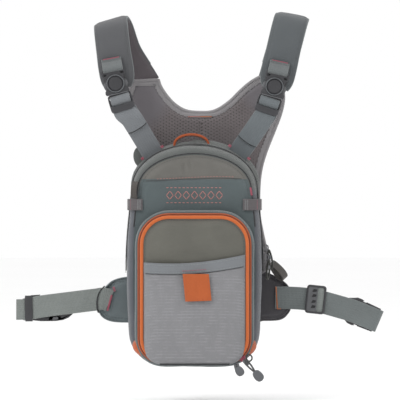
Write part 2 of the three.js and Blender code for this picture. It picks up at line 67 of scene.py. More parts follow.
# ---- driving dimensions, from the frame ------------------------------------------------------
PACK_LOW, PACK_HIGH = box_mm("rear_shell")
PACK_X = (PACK_LOW[0] + PACK_HIGH[0]) / 2
PACK_HALF = (PACK_HIGH[0] - PACK_LOW[0]) / 2
PACK_BOTTOM, PACK_TOP = PACK_LOW[2], PACK_HIGH[2]
SEAM_Y = PACK_LOW[1]
LID_BACK = box_mm("lid_shell")[1][1]
LID_FRONT = box_mm("lid_shell")[0][1]
GUSSET_LOW, GUSSET_HIGH = box_mm("pocket_gusset")
POCKET_HALF = (GUSSET_HIGH[0] - GUSSET_LOW[0]) / 2
POCKET_BOTTOM, POCKET_TOP = GUSSET_LOW[2], GUSSET_HIGH[2]
PANEL_LOW, PANEL_HIGH = box_mm("front_panel")
POUCH_LOW, POUCH_HIGH = box_mm("ripstop_pouch")
YOKE_LOW, YOKE_HIGH = box_mm("back_yoke")
YOKE_Y = (YOKE_LOW[1] + YOKE_HIGH[1]) / 2
BELT_Y = (box_mm("belt_left")[0][1] + box_mm("belt_left")[1][1]) / 2
BAND_DROP = 37
BAND_SEAM_Z = PACK_TOP - BAND_DROP
WEBBING_THICK = 1.7
WEBBING_WIDE = 23.6
POCKET_LOW_RADIUS = 29
POCKET_HIGH_RADIUS = 36
SLIDER_ARC = 24  # the radius of the arc that the pocket's sliders run on
ON_FACE = 0.02  # how near a point has to be to count as on a flat face
MESH_PITCH = 3.6
STRAP_STEPS = 90
HIDDEN_STEPS = 9  # a strap's last steps, which the yoke covers
FORWARD = (0, -1, 0)
OUTLINE_POINTS = 120
ALBEDO = 0.66  # scales every hex colour to a linear base colour


def band_seam(x):
    """The height of the seam between the lid's top panel and its slate band."""
    return BAND_SEAM_Z + 1.2 * math.sin((x - PACK_X) / 26) - 1.6 * ((x - PACK_X) / 60) ** 2


# ---- node materials --------------------------------------------------------------------------
def linear(hex_colour, gain=1.0):
    channels = [int(hex_colour[i:i + 2], 16) / 255 for i in (1, 3, 5)]
    gain *= ALBEDO
    return [min(1, gain * (c / 12.92 if c < 0.04045 else ((c + 0.055) / 1.055) ** 2.4))
            for c in channels] + [1]


class Graph:
    """A material's node tree, with short ways to add and join nodes."""

    def __init__(self, name):
        self.material = bpy.data.materials.new(name)
        self.material.use_nodes = True
        self.tree = self.material.node_tree
        self.bsdf = self.tree.nodes["Principled BSDF"]

    def add(self, kind, values=None, **settings):
        node = self.tree.nodes.new("ShaderNode" + kind)
        for key, value in settings.items():
            setattr(node, key, value)
        for key, value in (values or {}).items():
            self.feed(node.inputs[key], value)
        return node

    def feed(self, socket, value):
        if isinstance(value, bpy.types.NodeSocket):
            self.tree.links.new(value, socket)
        else:
            socket.default_value = value

    def math(self, operation, a, b=0.0, c=0.0):
        return self.add("Math", {0: a, 1: b, 2: c}, operation=operation).outputs[0]

    def mix(self, factor, a, b):
        node = self.add("Mix", data_type="RGBA", blend_type="MIX")
        for key, value in ((0, factor), (6, a), (7, b)):
            self.feed(node.inputs[key], value)
        return node.outputs[2]

    def noise(self, vector, scale, detail=3.0):
        values = {"Vector": vector, "Scale": scale, "Detail": detail, "Roughness": 0.55}
        return self.add("TexNoise", values).outputs["Fac"]

    def finish(self, colour, height, depth_mm, **shader):
        bump = self.add("Bump", {"Height": height, "Strength": 1.0, "Distance": depth_mm * MM})
        self.feed(self.bsdf.inputs["Base Color"], colour)
        self.feed(self.bsdf.inputs["Normal"], bump.outputs["Normal"])
        for key, value in shader.items():
            self.feed(self.bsdf.inputs[key.replace("_", " ")], value)
        return self.material


def cloth_coordinates(graph, use_uv):
    """Across and along the cloth, in metres, and the vector for noise."""
    source = graph.add("TexCoord")
    vector = source.outputs["Object"]
    split = graph.add("SeparateXYZ", {0: source.outputs["UV"] if use_uv else vector}).outputs
    if use_uv:
        return split[0], split[1], vector
    across = graph.math("ADD", split[0], split[1])
    along = graph.math("ADD", split[2], graph.math("MULTIPLY", split[1], 0.6))
    return across, along, vector


def waves(graph, value, pitch_mm):
    return graph.math("SINE", graph.math("MULTIPLY", value, 2 * math.pi / (pitch_mm * MM)))


def fabric(name, colour, pitch=1.3, depth=0.16, use_uv=False, rough=0.82, sheen=0.3,
           mottle=0.3, ribs=0.0):
    """Plain weave; ribs is the pitch of a ripstop's heavier threads, or 0."""
    graph = Graph(name)
    across, along, vector = cloth_coordinates(graph, use_uv)
    weave = graph.math("MULTIPLY", waves(graph, across, pitch), waves(graph, along, pitch))
    grain = graph.noise(vector, 900, 2)
    cloud = graph.noise(vector, 28, 4)
    height = graph.math("MULTIPLY_ADD", grain, 0.8, weave)
    tone = graph.mix(cloud, linear(colour, 1 - mottle), linear(colour, 1 + mottle))
    tone = graph.mix(graph.math("MULTIPLY_ADD", weave, 0.09, 0.09), tone, linear(colour, 1.5))
    tone = graph.mix(graph.math("MULTIPLY", grain, 0.3), tone, linear(colour, 0.55))
    if ribs:
        rib = graph.math("MULTIPLY_ADD", waves(graph, along, ribs), 0.5, 0.5)
        rib = graph.math("POWER", rib, 5)
        cross = graph.math("MULTIPLY_ADD", waves(graph, across, ribs * 1.6), 0.5, 0.5)
        cross = graph.math("POWER", cross, 14)
        lines = graph.math("MAXIMUM", rib, graph.math("MULTIPLY", cross, 0.3))
        patchy = graph.add("MapRange", {0: graph.noise(vector, 110, 2), 1: 0.42, 2: 0.6}).outputs[0]
        broken = graph.math("MULTIPLY", lines, patchy)
        height = graph.math("MULTIPLY_ADD", broken, 2.2, height)
        tone = graph.mix(graph.math("MULTIPLY", broken, 0.6), tone, linear(colour, 1.4))
    roughness = graph.math("MULTIPLY_ADD", cloud, 0.14, rough - 0.07)
    shader = {"Roughness": roughness, "Sheen_Weight": sheen, "Sheen_Roughness": 0.5,
              "Specular_IOR_Level": 0.25}
    return graph.finish(tone, height, depth, **shader)


def webbing_cloth(name, colour):
    """Woven tape: fine cross ribs and a few lengthwise tracks, by its UV in metres."""
    graph = Graph(name)
    across, along, vector = cloth_coordinates(graph, True)
    ribs = waves(graph, along, 1.5)
    tracks = waves(graph, across, 2.6)
    chevron = waves(graph, graph.math("MULTIPLY_ADD", graph.math("ABSOLUTE", tracks),
                                      0.0006, along), 1.5)
    cloud = graph.noise(vector, 45, 4)
    ridges = graph.math("MULTIPLY_ADD", tracks, 0.5, graph.math("MULTIPLY", ribs, 0.3))
    height = graph.math("MULTIPLY_ADD", chevron, 0.8, ridges)
    tone = graph.mix(cloud, linear(colour, 0.78), linear(colour, 1.22))
    tone = graph.mix(graph.math("MULTIPLY_ADD", height, 0.08, 0.12), tone, linear(colour, 1.55))
    roughness = graph.math("MULTIPLY_ADD", cloud, 0.16, 0.54)
    return graph.finish(tone, height, 0.14, Roughness=roughness, Sheen_Weight=0.2,
                        Specular_IOR_Level=0.4)


def spacer_mesh(name, colour, plain, patches):
    """Open mesh: a hexagonal net with round holes, worn shut here and there.

    It turns to plain cloth inside each patch, given as (x, z, reach_x, reach_z) in millimetres.
    """
    graph = Graph(name)
    across, along, vector = cloth_coordinates(graph, False)
    lobes = []
    for angle in (0, 60, 120):
        turn = math.radians(angle)
        line = graph.math("ADD", graph.math("MULTIPLY", across, math.cos(turn)),
                          graph.math("MULTIPLY", along, math.sin(turn)))
        lobes.append(graph.math("COSINE",
                                graph.math("MULTIPLY", line,
                                           4 * math.pi / (math.sqrt(3) * MESH_PITCH * MM))))
    total = graph.math("ADD", graph.math("ADD", lobes[0], lobes[1]), lobes[2])
    hole = graph.add("MapRange", {0: total, 1: 0.6, 2: 2.0}).outputs[0]
    cloud = graph.noise(vector, 30, 4)
    worn = graph.noise(vector, 16, 2)
    hole = graph.math("MULTIPLY", hole,
                      graph.add("MapRange", {0: worn, 1: 0.36, 2: 0.6}).outputs[0])
    tone = graph.mix(cloud, linear(colour, 0.72), linear(colour, 1.3))
    split = graph.add("SeparateXYZ", {0: vector}).outputs
    for x, z, reach_x, reach_z in patches:
        part_x = graph.math("POWER", graph.math("MULTIPLY_ADD", split[0], 1 / (reach_x * MM),
                                                -x / reach_x), 2)
        part_z = graph.math("POWER", graph.math("MULTIPLY_ADD", split[2], 1 / (reach_z * MM),
                                                -z / reach_z), 2)
        open_part = graph.add("MapRange", {0: graph.math("ADD", part_x, part_z), 1: 0.6,
                                           2: 1.3}).outputs[0]
        hole = graph.math("MULTIPLY", hole, open_part)
        tone = graph.mix(open_part, linear(plain), tone)
    # Painted shade: the holes are darkened to a third of the colour, as shade inside them.
    tone = graph.mix(graph.math("MULTIPLY", hole, 0.6), tone, linear(colour, 0.3))
    height = graph.math("MULTIPLY_ADD", hole, -1.0,
                        graph.math("MULTIPLY", graph.noise(vector, 1200, 2), 0.25))
    return graph.finish(tone, height, 0.6, Roughness=0.92, Sheen_Weight=0.25,
                        Specular_IOR_Level=0.2)


def moulded(name, colour, rough=0.42, metal=0.0, grain=0.02):
    """Plastic, rubber or metal: fine texture, uneven gloss and sharp edges painted paler as a
    highlight.
    """
    graph = Graph(name)
    vector = graph.add("TexCoord").outputs["Object"]
    cloud = graph.noise(vector, 120, 4)
    speck = graph.noise(vector, 2600, 2)
    # Painted highlight: convex edges are lightened by their pointiness.
    edge = graph.add("MapRange", {0: graph.add("NewGeometry").outputs["Pointiness"], 1: 0.52,
                                  2: 0.66}).outputs[0]
    tone = graph.mix(cloud, linear(colour, 0.8), linear(colour, 1.2))
    tone = graph.mix(graph.math("MULTIPLY", edge, 0.45), tone, linear(colour, 2.6))
    roughness = graph.math("MULTIPLY_ADD", cloud, 0.2, rough - 0.1)
    return graph.finish(tone, speck, grain, Roughness=roughness, Metallic=metal)


def thread(name, colour):
    graph = Graph(name)
    vector = graph.add("TexCoord").outputs["Object"]
    cloud = graph.noise(vector, 700, 2)
    tone = graph.mix(cloud, linear(colour, 0.7), linear(colour, 1.3))
    return graph.finish(tone, cloud, 0.05, Roughness=0.55, Sheen_Weight=0.3)


NYLON = fabric("nylon_main", "#696d6b")
TOP_NYLON = fabric("nylon_top_panel", "#7a7873")
SLATE_NYLON = fabric("nylon_slate_band", "#636e70")
SIDE_NYLON = fabric("nylon_side", "#6a6d74")
OLIVE_NYLON = fabric("nylon_olive", "#75746c")
LINING = fabric("lining", "#54585a", pitch=0.9, rough=0.7)
RIPSTOP = fabric("ripstop", "#9c9c9f", pitch=0.8, depth=0.12, rough=0.6, sheen=0.2,
                 mottle=0.1, ribs=3.3)
HEM_CLOTH = fabric("pouch_hem", "#8b8f93", pitch=0.9, depth=0.1, rough=0.62, mottle=0.15)
ORANGE_TAPE = fabric("orange_tape", "#e67433", pitch=1.1, use_uv=True, rough=0.6, mottle=0.12)
RUST_TAPE = fabric("rust_tape", "#bd5a2c", pitch=1.1, use_uv=True, rough=0.6, mottle=0.15)
TAB_WEBBING = webbing_cloth("webbing_tab", "#625d5f")
# A darker copy of the grey webbing for the right belt: painted shade, the light coming from the
# left.
TEAL_WEBBING_PAINTED_SHADE = webbing_cloth("webbing_teal_painted_shade", "#757c7c")
# A darker copy of the adjuster webbing for the right adjuster: painted shade.
ADJUSTER_PAINTED_SHADE = webbing_cloth("webbing_adjuster_right_painted_shade", "#6f767a")
ORANGE_FLAT = fabric("orange_cloth", "#d86322", pitch=1.1, rough=0.6, mottle=0.15)
ORANGE_TAB = fabric("orange_tab", "#c9642f", pitch=0.8, depth=0.05, rough=0.5,
                    sheen=0.1, mottle=0.15)
WEBBING = webbing_cloth("webbing_grey", "#8a908d")
ANCHOR_WEBBING = webbing_cloth("webbing_anchor", "#6d7273")
ADJUSTER_WEBBING = webbing_cloth("webbing_adjuster", "#7e8286")
WING_CLOTH = fabric("nylon_wing", "#7a8588", mottle=0.15)
# A darker copy of the wing cloth for the right wing: painted shade, as that side lies in the pack's
# shadow.
WING_PAINTED_SHADE = fabric("nylon_wing_painted_shade", "#555357", mottle=0.15)
DARK_WEBBING = webbing_cloth("webbing_dark", "#4d4844")
TAPE_DARK = fabric("zipper_tape", "#3a3c3e", pitch=1.0, rough=0.75)
BINDING = fabric("binding", "#7c8384", pitch=1.1, use_uv=True, rough=0.7)
MESH_CLOTH = spacer_mesh("spacer_mesh", "#7c7576", plain="#7d797d",
                         patches=((-68, -60, 36, 44), (86, -50, 42, 40)))
YOKE_BAND = fabric("yoke_band", "#a29fa1", mottle=0.15)
STRAP_CLOTH = fabric("strap_cloth", "#646568", mottle=0.12)
# A cooler copy of the strap cloth for the right strap: painted shade on that side.
STRAP_PAINTED_SHADE = fabric("strap_cloth_right_painted_shade", "#656a6d", mottle=0.12)
STRAP_LINING = fabric("strap_lining", "#6b6468", mottle=0.2)
PLASTIC = moulded("buckle_plastic", "#333337")
# A paler plastic for the ring round the buckle's button: a painted highlight.
BOSS_RIM_PAINTED_HIGHLIGHT = moulded("boss_rim_painted_highlight", "#5f6366")
PLASTIC_LIGHT = moulded("slider_plastic", "#5c5d60")
PULL_RUBBER = moulded("pull_rubber", "#616367", rough=0.55, grain=0.04)
METAL = moulded("slider_metal", "#77777a", rough=0.32, metal=0.9)
SHEET = moulded("frame_sheet_plastic", "#2e2e30", rough=0.5)
CORD = fabric("pull_cord", "#34352e", pitch=1.2, depth=0.3, use_uv=True, rough=0.7)
THREAD_GREY = thread("thread_grey", "#9a9fa0")
THREAD_DARK = thread("thread_dark", "#3e4042")
THREAD_PINK = thread("thread_pink", "#c2546c")
THREAD_SALMON = thread("thread_salmon", "#c9837a")
THREAD_RUST = thread("thread_rust", "#b5562a")
THREAD_ORANGE = thread("thread_orange", "#d8752f")
COIL_RED = thread("coil_red", "#8c3a1c")
COIL_DARK = thread("coil_dark", "#26272a")


# ---- mesh helpers ----------------------------------------------------------------------------
def new_piece(name, points, faces, materials, uvs=None, smooth_angle=50, closed=True):
    """A mesh object from points in millimetres. uvs are in metres, one per point."""
    mesh = bpy.data.meshes.new(name)
    mesh.from_pydata([tuple(p) for p in np.asarray(points, float) * MM], [],
                     [tuple(f) for f in faces])
    for material in materials if isinstance(materials, (list, tuple)) else [materials]:
        mesh.materials.append(material)
    if uvs is not None:
        layer = mesh.uv_layers.new(name="UVMap")
        for loop in mesh.loops:
            layer.data[loop.index].uv = uvs[loop.vertex_index]
    piece = bpy.data.objects.new(name, mesh)
    bpy.context.scene.collection.objects.link(piece)
    shade(piece, smooth_angle, closed)
    return piece


def shade(piece, smooth_angle=50, closed=True):
    """Faces out, smooth shading, and sharp edges past an angle."""
    work = bmesh.new()
    work.from_mesh(piece.data)
    if closed:
        bmesh.ops.recalc_face_normals(work, faces=work.faces)
    for face in work.faces:
        face.smooth = True
    limit = math.radians(smooth_angle)
    for edge in work.edges:
        edge.smooth = len(edge.link_faces) != 2 or edge.calc_face_angle(0) < limit
    work.to_mesh(piece.data)
    work.free()


def place(piece, body, slot, *nodes):
    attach(piece, body)
    if nodes:
        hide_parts(*nodes)
    return piece


def points_mm(piece):
    return np.array([v.co for v in piece.data.vertices]) / MM


def move_points(piece, points):
    piece.data.vertices.foreach_set("co", (points * MM).ravel())


def apply_modifiers(piece):
    graph = bpy.context.evaluated_depsgraph_get()
    mesh = bpy.data.meshes.new_from_object(piece.evaluated_get(graph))
    piece.modifiers.clear()
    piece.data = mesh
    return piece


def bevelled(piece, width):
    modifier = piece.modifiers.new("edges", "BEVEL")
    modifier.width = width * MM
    modifier.segments = 2
    modifier.limit_method = "ANGLE"
    modifier.angle_limit = math.radians(35)
    apply_modifiers(piece)
    shade(piece, 40)
    return piece


def loft(name, rings, materials, caps=(True, True), smooth_angle=50):
    """A skin through closed rings of equal length."""
    rings = np.asarray(rings, float)
    rows, count = rings.shape[:2]
    faces = []
    for row in range(rows - 1):
        for i in range(count):
            j = (i + 1) % count
            faces.append((row * count + i, row * count + j, (row + 1) * count + j,
                          (row + 1) * count + i))
    if caps[0]:
        faces.append(tuple(reversed(range(count))))
    if caps[1]:
        faces.append(tuple((rows - 1) * count + i for i in range(count)))
    return new_piece(name, rings.reshape(-1, 3), faces, materials, smooth_angle=smooth_angle,
                     closed=all(caps))


def paint(piece, chooser):
    """Gives each face the material number that chooser(centre in mm, normal) returns."""
    for polygon in piece.data.polygons:
        polygon.material_index = chooser(polygon.center / MM, polygon.normal)


def catmull(points, per_span=8, closed=False):
    points = np.asarray(points, float)
    if closed:
        points = np.vstack([points[-1], points, points[:2]])
    else:
        points = np.vstack([2 * points[0] - points[1], points, 2 * points[-1] - points[-2]])
    result = []
    for i in range(1, len(points) - 2):
        p0, p1, p2, p3 = points[i - 1:i + 3]
        for t in np.linspace(0, 1, per_span, endpoint=False):
            result.append(0.5 * (2 * p1 + (p2 - p0) * t + (2 * p0 - 5 * p1 + 4 * p2 - p3) * t ** 2
                                 + (3 * p1 - p0 - 3 * p2 + p3) * t ** 3))
    if not closed:
        result.append(points[-2])
    return np.array(result)


def run_lengths(points):
    """The distance along a polyline from its start to each of its points."""
    return np.concatenate([[0], np.cumsum(np.linalg.norm(np.diff(points, axis=0), axis=1))])


def resample(points, count, closed=False):
    """Points at equal steps along a polyline."""
    points = np.asarray(points, float)
    if closed:
        points = np.vstack([points, points[0]])
    lengths = run_lengths(points)
    places = np.linspace(0, lengths[-1], count, endpoint=not closed)
    return np.stack([np.interp(places, lengths, points[:, axis])
                     for axis in range(points.shape[1])], axis=1)


def tangents(path, closed=False):
    if closed:
        steps = np.roll(path, -1, axis=0) - np.roll(path, 1, axis=0)
    else:
        steps = np.gradient(path, axis=0)
    return steps / np.linalg.norm(steps, axis=1)[:, None]


def squared(sides, along):
    """Unit directions across a path, each turned square to the path."""
    sides = sides - along * np.sum(sides * along, axis=1)[:, None]
    return sides / np.linalg.norm(sides, axis=1)[:, None]


def sweep(name, path, section, sides, materials, closed=False, scale=None):
    """A closed section of (across, out) points along a path; sides point across it at each step."""
    path = np.asarray(path, float)
    along = tangents(path, closed)
    sides = np.broadcast_to(np.asarray(sides, float), path.shape)
    sides = squared(sides, along)
    outs = np.cross(along, sides)
    section = np.asarray(section, float)
    count = len(section)
    scale = np.ones(len(path)) if scale is None else np.asarray(scale)
    points = [p + scale[k] * (a * sides[k] + b * outs[k])
              for k, p in enumerate(path) for a, b in section]
    faces = []
    for row in range(len(path) - (0 if closed else 1)):
        following = (row + 1) % len(path)
        for i in range(count):
            j = (i + 1) % count
            faces.append((row * count + i, row * count + j, following * count + j,
                          following * count + i))
    if not closed:
        faces += [tuple(reversed(range(count))),
                  tuple((len(path) - 1) * count + i for i in range(count))]
    run = run_lengths(path) * MM
    uvs = [(section[i][0] * MM, run[k]) for k in range(len(path)) for i in range(count)]
    return new_piece(name, points, faces, materials, uvs, smooth_angle=60)


def flat_section(width, thick, corner=0.35, crown=0.0):
    """A webbing's section: flat faces, thin round edges; crown lifts both faces in the middle."""
    half, rise = width / 2, thick / 2
    top = []
    for t in np.linspace(-1, 1, 7):
        top.append((t * (half - corner), rise + crown * (1 - t * t)))
    lower = [(-x, -z) for x, z in top]
    return [(-half, 0)] + top + [(half, 0)] + lower


def round_section(radius_x, radius_z=None, steps=10):
    radius_z = radius_x if radius_z is None else radius_z
    turns = [2 * math.pi * i / steps for i in range(steps)]
    return [(radius_x * math.cos(t), radius_z * math.sin(t)) for t in turns]


def lean_sides(angles, count):
    """Width directions in the XZ plane from angles in degrees, spread along a path."""
    places = np.linspace(0, len(angles) - 1, count)
    turns = np.radians(np.interp(places, range(len(angles)), angles))
    return np.stack([np.cos(turns), np.zeros(count), np.sin(turns)], axis=1)


def threads(name, segments, outward, width, material, height=None):
    """Short raised threads, each from one point to another; outward is the surface's normal."""
    height = width * 0.55 if height is None else height
    points, faces = [], []
    for index, (start, end) in enumerate(segments):
        start, end = np.asarray(start, float), np.asarray(end, float)
        out = np.asarray(outward[index] if np.ndim(outward) == 2 else outward, float)
        along = end - start
        length = np.linalg.norm(along)
        if length < 1e-6:
            continue
        side = np.cross(along / length, out)
        side = side / max(np.linalg.norm(side), 1e-6) * width / 2
        base = len(points)
        for share, size in ((0, 0.35), (0.18, 0.9), (0.82, 0.9), (1, 0.35)):
            middle = start + share * along
            for a, b in ((-1, -0.4), (-0.6, 0.75), (0.6, 0.75), (1, -0.4)):
                points.append(middle + side * a * size + out * height * (b * size if b > 0 else b))
        for row in range(3):
            for i in range(4):
                j = (i + 1) % 4
                faces.append((base + row * 4 + i, base + row * 4 + j, base + row * 4 + 4 + j,
                              base + row * 4 + 4 + i))
        faces += [(base + 3, base + 2, base + 1, base),
                  (base + 12, base + 13, base + 14, base + 15)]
    return new_piece(name, points, faces, material, smooth_angle=80)


def sew(body, slot, name, segments, outward, width, cotton, height=None):
    place(threads(name, segments, outward, width, cotton, height), body, slot)


def stitch_line(path, length=2.6, gap=1.2):
    """Stitch segments along a polyline."""
    path = np.asarray(path, float)
    total = np.linalg.norm(np.diff(path, axis=0), axis=1).sum()
    count = max(1, int(total / (length + gap)))
    fine = resample(path, count * 8 + 1)
    share = length / (length + gap) * 8
    return [(fine[8 * i], fine[min(8 * i + round(share), len(fine) - 1)]) for i in range(count)]


def tack(start, end, out, width=2.4, pitch=0.55):
    """A bartack: dense short threads across the line from start to end."""
    start, end, out = (np.asarray(v, float) for v in (start, end, out))
    along = end - start
    across = np.cross(along / np.linalg.norm(along), out) * width / 2
    count = max(2, int(np.linalg.norm(along) / pitch))
    rows = []
    for i in range(count):
        middle = start + along * i / (count - 1)
        low, high = 1 + 0.12 * (i % 2), 1 + 0.12 * ((i + 1) % 2)
        rows.append((middle - across * low, middle + across * high))
    return rows


class Surface:
    """Finds a piece's front or back surface, so that threads and trims lie on it."""

    def __init__(self, piece):
        mesh = piece.data
        self.tree = BVHTree.FromPolygons([v.co for v in mesh.vertices],
                                         [p.vertices for p in mesh.polygons])

    def at(self, x, z, front=True, fallback=0.0):
        start = Vector((x * MM, -0.5 if front else 0.5, z * MM))
        hit = self.tree.ray_cast(start, Vector((0, 1 if front else -1, 0)))[0]
        return np.array([x, hit.y / MM if hit else fallback, z])

    def stitches(self, line, length, gap, fallback=0.0):
        """Stitch segments on the front surface along a run of (x, z) points."""
        path = [self.at(x, z, fallback=fallback) for x, z in line]
        return stitch_line(path, length, gap)


def hump(offset, width):
    """A bell curve: 1 at no offset, fading over width."""
    return math.exp(-(offset / width) ** 2)


def ripple(x, y, z, scale, seed=0.0):
    """Smooth noise from -1 to 1; scale is the size of its bumps in millimetres."""
    return noise.noise(Vector((x / scale + seed, y / scale + 3.1 * seed, z / scale - seed)))


def wrinkled(rings, amount, scale, seed):
    """Moves ring points a little away from the pack's middle, or towards it."""
    rings = np.array(rings, float)
    for ring in rings:
        for point in ring:
            fine = ripple(*point, scale * 0.4, seed + 5)
            push = amount * ripple(*point, scale, seed) + 0.4 * amount * fine
            away = np.array([point[0] - PACK_X, 0, 0.6 * (point[2] - (PACK_TOP + PACK_BOTTOM) / 2)])
            point += away / max(np.linalg.norm(away), 1) * push
    return rings


# ---- soft pads by cloth simulation -----------------------------------------------------------
def remeshed(piece, voxel):
    modifier = piece.modifiers.new("remesh", "REMESH")
    modifier.mode = "VOXEL"
    modifier.voxel_size = voxel * MM
    return apply_modifiers(piece)


def inflated(piece, voxel=4.0, pressure=4.0, cap=5.0, frames=20):
    """Remeshes a pad and swells it as cloth, across its thickness only and at most by cap."""
    remeshed(piece, voxel)
    start = np.array([v.co for v in piece.data.vertices])
    modifier = piece.modifiers.new("cloth", "CLOTH")
    modifier.settings.quality = 4
    modifier.settings.use_pressure = True
    modifier.settings.uniform_pressure_force = pressure
    modifier.settings.effector_weights.gravity = 0
    modifier.point_cache.frame_start = 1
    modifier.point_cache.frame_end = frames
    scene = bpy.context.scene
    for step in range(1, frames + 1):
        scene.frame_set(step)
    graph = bpy.context.evaluated_depsgraph_get()
    end = np.array([v.co for v in piece.evaluated_get(graph).to_mesh().vertices])
    piece.modifiers.clear()
    scene.frame_set(1)
    move = (end - start) * [0, 1, 0]
    length = np.linalg.norm(move, axis=1)[:, None]
    move *= np.minimum(1, cap * MM / np.maximum(length, 1e-9))
    piece.data.vertices.foreach_set("co", (start + move).ravel())
    modifier = piece.modifiers.new("fine", "SUBSURF")
    modifier.levels = 1
    apply_modifiers(piece)
    shade(piece, 80)
    return piece


def outline_distance(xz, outline):
    """Distance from points to a closed outline, in millimetres."""
    xz, a = np.asarray(xz, float), np.asarray(outline, float)
    b = np.roll(a, -1, axis=0)
    nearest = np.full(len(xz), 1e9)
    for start, end in zip(a, b):
        edge = end - start
        t = np.clip(((xz - start) @ edge) / max(edge @ edge, 1e-9), 0, 1)
        nearest = np.minimum(nearest, np.linalg.norm(xz - start - t[:, None] * edge, axis=1))
    return nearest


def sewn_channel(piece, outline, inset, depth, width, middle_y):
    """Pulls a pad's faces towards its middle along a line that follows its outline."""
    points = points_mm(piece)
    distance = outline_distance(points[:, [0, 2]], outline)
    pull = depth * np.exp(-((distance - inset) / width) ** 2)
    offset = points[:, 1] - middle_y
    points[:, 1] -= np.sign(offset) * np.minimum(pull, np.abs(offset) * 0.75)
    move_points(piece, points)
    piece.data.update()
    return distance


def slab_piece(name, outline, low_y, high_y, materials, edge=1.5):
    """A plate with an outline in XZ, its edges drawn in a little towards both faces."""
    outline = np.asarray(outline, float)
    normals = outline_normals(outline)
    rings = []
    for y, inset in ((low_y, edge), (low_y + edge, 0), (high_y - edge, 0), (high_y, edge)):
        moved = outline - normals * inset
        rings.append(np.stack([moved[:, 0], np.full(len(outline), y), moved[:, 1]], axis=1))
    return loft(name, rings, materials)


def grid_border(rows, columns):
    """The vertex numbers round the edge of a grid, in order."""
    border = list(range(columns)) + [r * columns + columns - 1 for r in range(1, rows)]
    border += [(rows - 1) * columns + c for c in range(columns - 2, -1, -1)]
    return border + [r * columns for r in range(rows - 2, 0, -1)]


def outline_normals(outline):
    """Outward normals of a closed counterclockwise outline."""
    step = np.roll(outline, -1, axis=0) - np.roll(outline, 1, axis=0)
    step /= np.linalg.norm(step, axis=1)[:, None]
    return np.stack([step[:, 1], -step[:, 0]], axis=1)


# ---- outlines --------------------------------------------------------------------------------
def arc(cx, cz, rx, rz, start, end, steps):
    turns = np.radians(np.linspace(start, end, steps + 1))
    return [(cx + rx * math.cos(t), cz + rz * math.sin(t)) for t in turns]


def closed_outline(half, count):
    left = [(-x, z) for x, z in reversed(half)]
    loop = resample(np.array(half + left), count, closed=True)
    for _ in range(2):
        loop = 0.5 * loop + 0.25 * (np.roll(loop, 1, axis=0) + np.roll(loop, -1, axis=0))
    return loop + np.array([PACK_X, 0])


def pack_outline(top=0.0, side=None, bottom=None, count=OUTLINE_POINTS):
    side = top if side is None else side
    bottom = side if bottom is None else bottom
    low_half, top_half, rise = PACK_HALF - 2, PACK_HALF - 6, 48
    radius = 38 - (side + bottom) / 2
    half = [(0, PACK_BOTTOM + bottom)]
    half += arc(low_half - side - radius, PACK_BOTTOM + bottom + radius, radius, radius, -90, 0, 10)
    spring = PACK_TOP - rise
    sides = [(low_half - side, PACK_BOTTOM + 38), (PACK_HALF - side, PACK_TOP - 120),
             (top_half - side, spring)]
    half += [tuple(p) for p in catmull(sides, 6)[1:-1]]
    half += arc(0, spring, top_half - side, rise - top, 0, 90, 20)
    return closed_outline(half[:-1] + [(0.0, PACK_TOP - top)], count)


def pocket_outline(inset=0.0, count=OUTLINE_POINTS):
    low, high = POCKET_LOW_RADIUS - inset, POCKET_HIGH_RADIUS - inset
    half = [(0, POCKET_BOTTOM + inset)]
    half += arc(POCKET_HALF - POCKET_LOW_RADIUS, POCKET_BOTTOM + POCKET_LOW_RADIUS, low,
                low, -90, 0, 10)
    half += arc(POCKET_HALF - POCKET_HIGH_RADIUS, POCKET_TOP - POCKET_HIGH_RADIUS, high,
                high, 0, 90, 12)
    return closed_outline(half + [(0.0, POCKET_TOP - inset)], count)


def ring(outline, y):
    return np.stack([outline[:, 0], np.full(len(outline), float(y)), outline[:, 1]], axis=1)


def face_grid(piece, front_y, step):
    """Cuts a piece's flat front face into a grid, so that it can bulge and crease."""
    work = bmesh.new()
    work.from_mesh(piece.data)
    for axis in (0, 2):
        values = [v.co[axis] / MM for v in work.verts]
        for place_at in np.arange(min(values) + step / 2, max(values), step):
            faces = [f for f in work.faces if all(abs(v.co.y / MM - front_y) < ON_FACE
                                                  for v in f.verts)]
            edges = list({e for f in faces for e in f.edges})
            verts = list({v for f in faces for v in f.verts})
            point, normal = Vector((0, 0, 0)), Vector((0, 0, 0))
            point[axis], normal[axis] = place_at * MM, 1
            bmesh.ops.bisect_plane(work, geom=verts + edges + faces, plane_co=point,
                                   plane_no=normal)
    work.to_mesh(piece.data)
    work.free()


def push_face(piece, front_y, outline, edge, depth_at):
    """Moves a gridded front face forward by depth_at(x, z), rising from its outline over edge."""
    points = points_mm(piece)
    face = np.flatnonzero(np.abs(points[:, 1] - front_y) < ON_FACE)
    distance = outline_distance(points[face][:, [0, 2]], outline)
    for index, away in zip(face, distance):
        rise = min(1, away / edge)
        points[index, 1] -= depth_at(points[index, 0],
                                     points[index, 2]) * rise * rise * (3 - 2 * rise)
    move_points(piece, points)
    piece.data.update()
    shade(piece, 50)


def open_run(outline, keep):
    """The points of a closed outline that keep() accepts, in order, as one open run."""
    kept = np.array([keep(x, z) for x, z in outline])
    first = next(i for i in range(len(outline)) if kept[i] and not kept[i - 1])
    order = np.roll(np.arange(len(outline)), -first)
    return np.array([outline[i] for i in order if kept[i]])


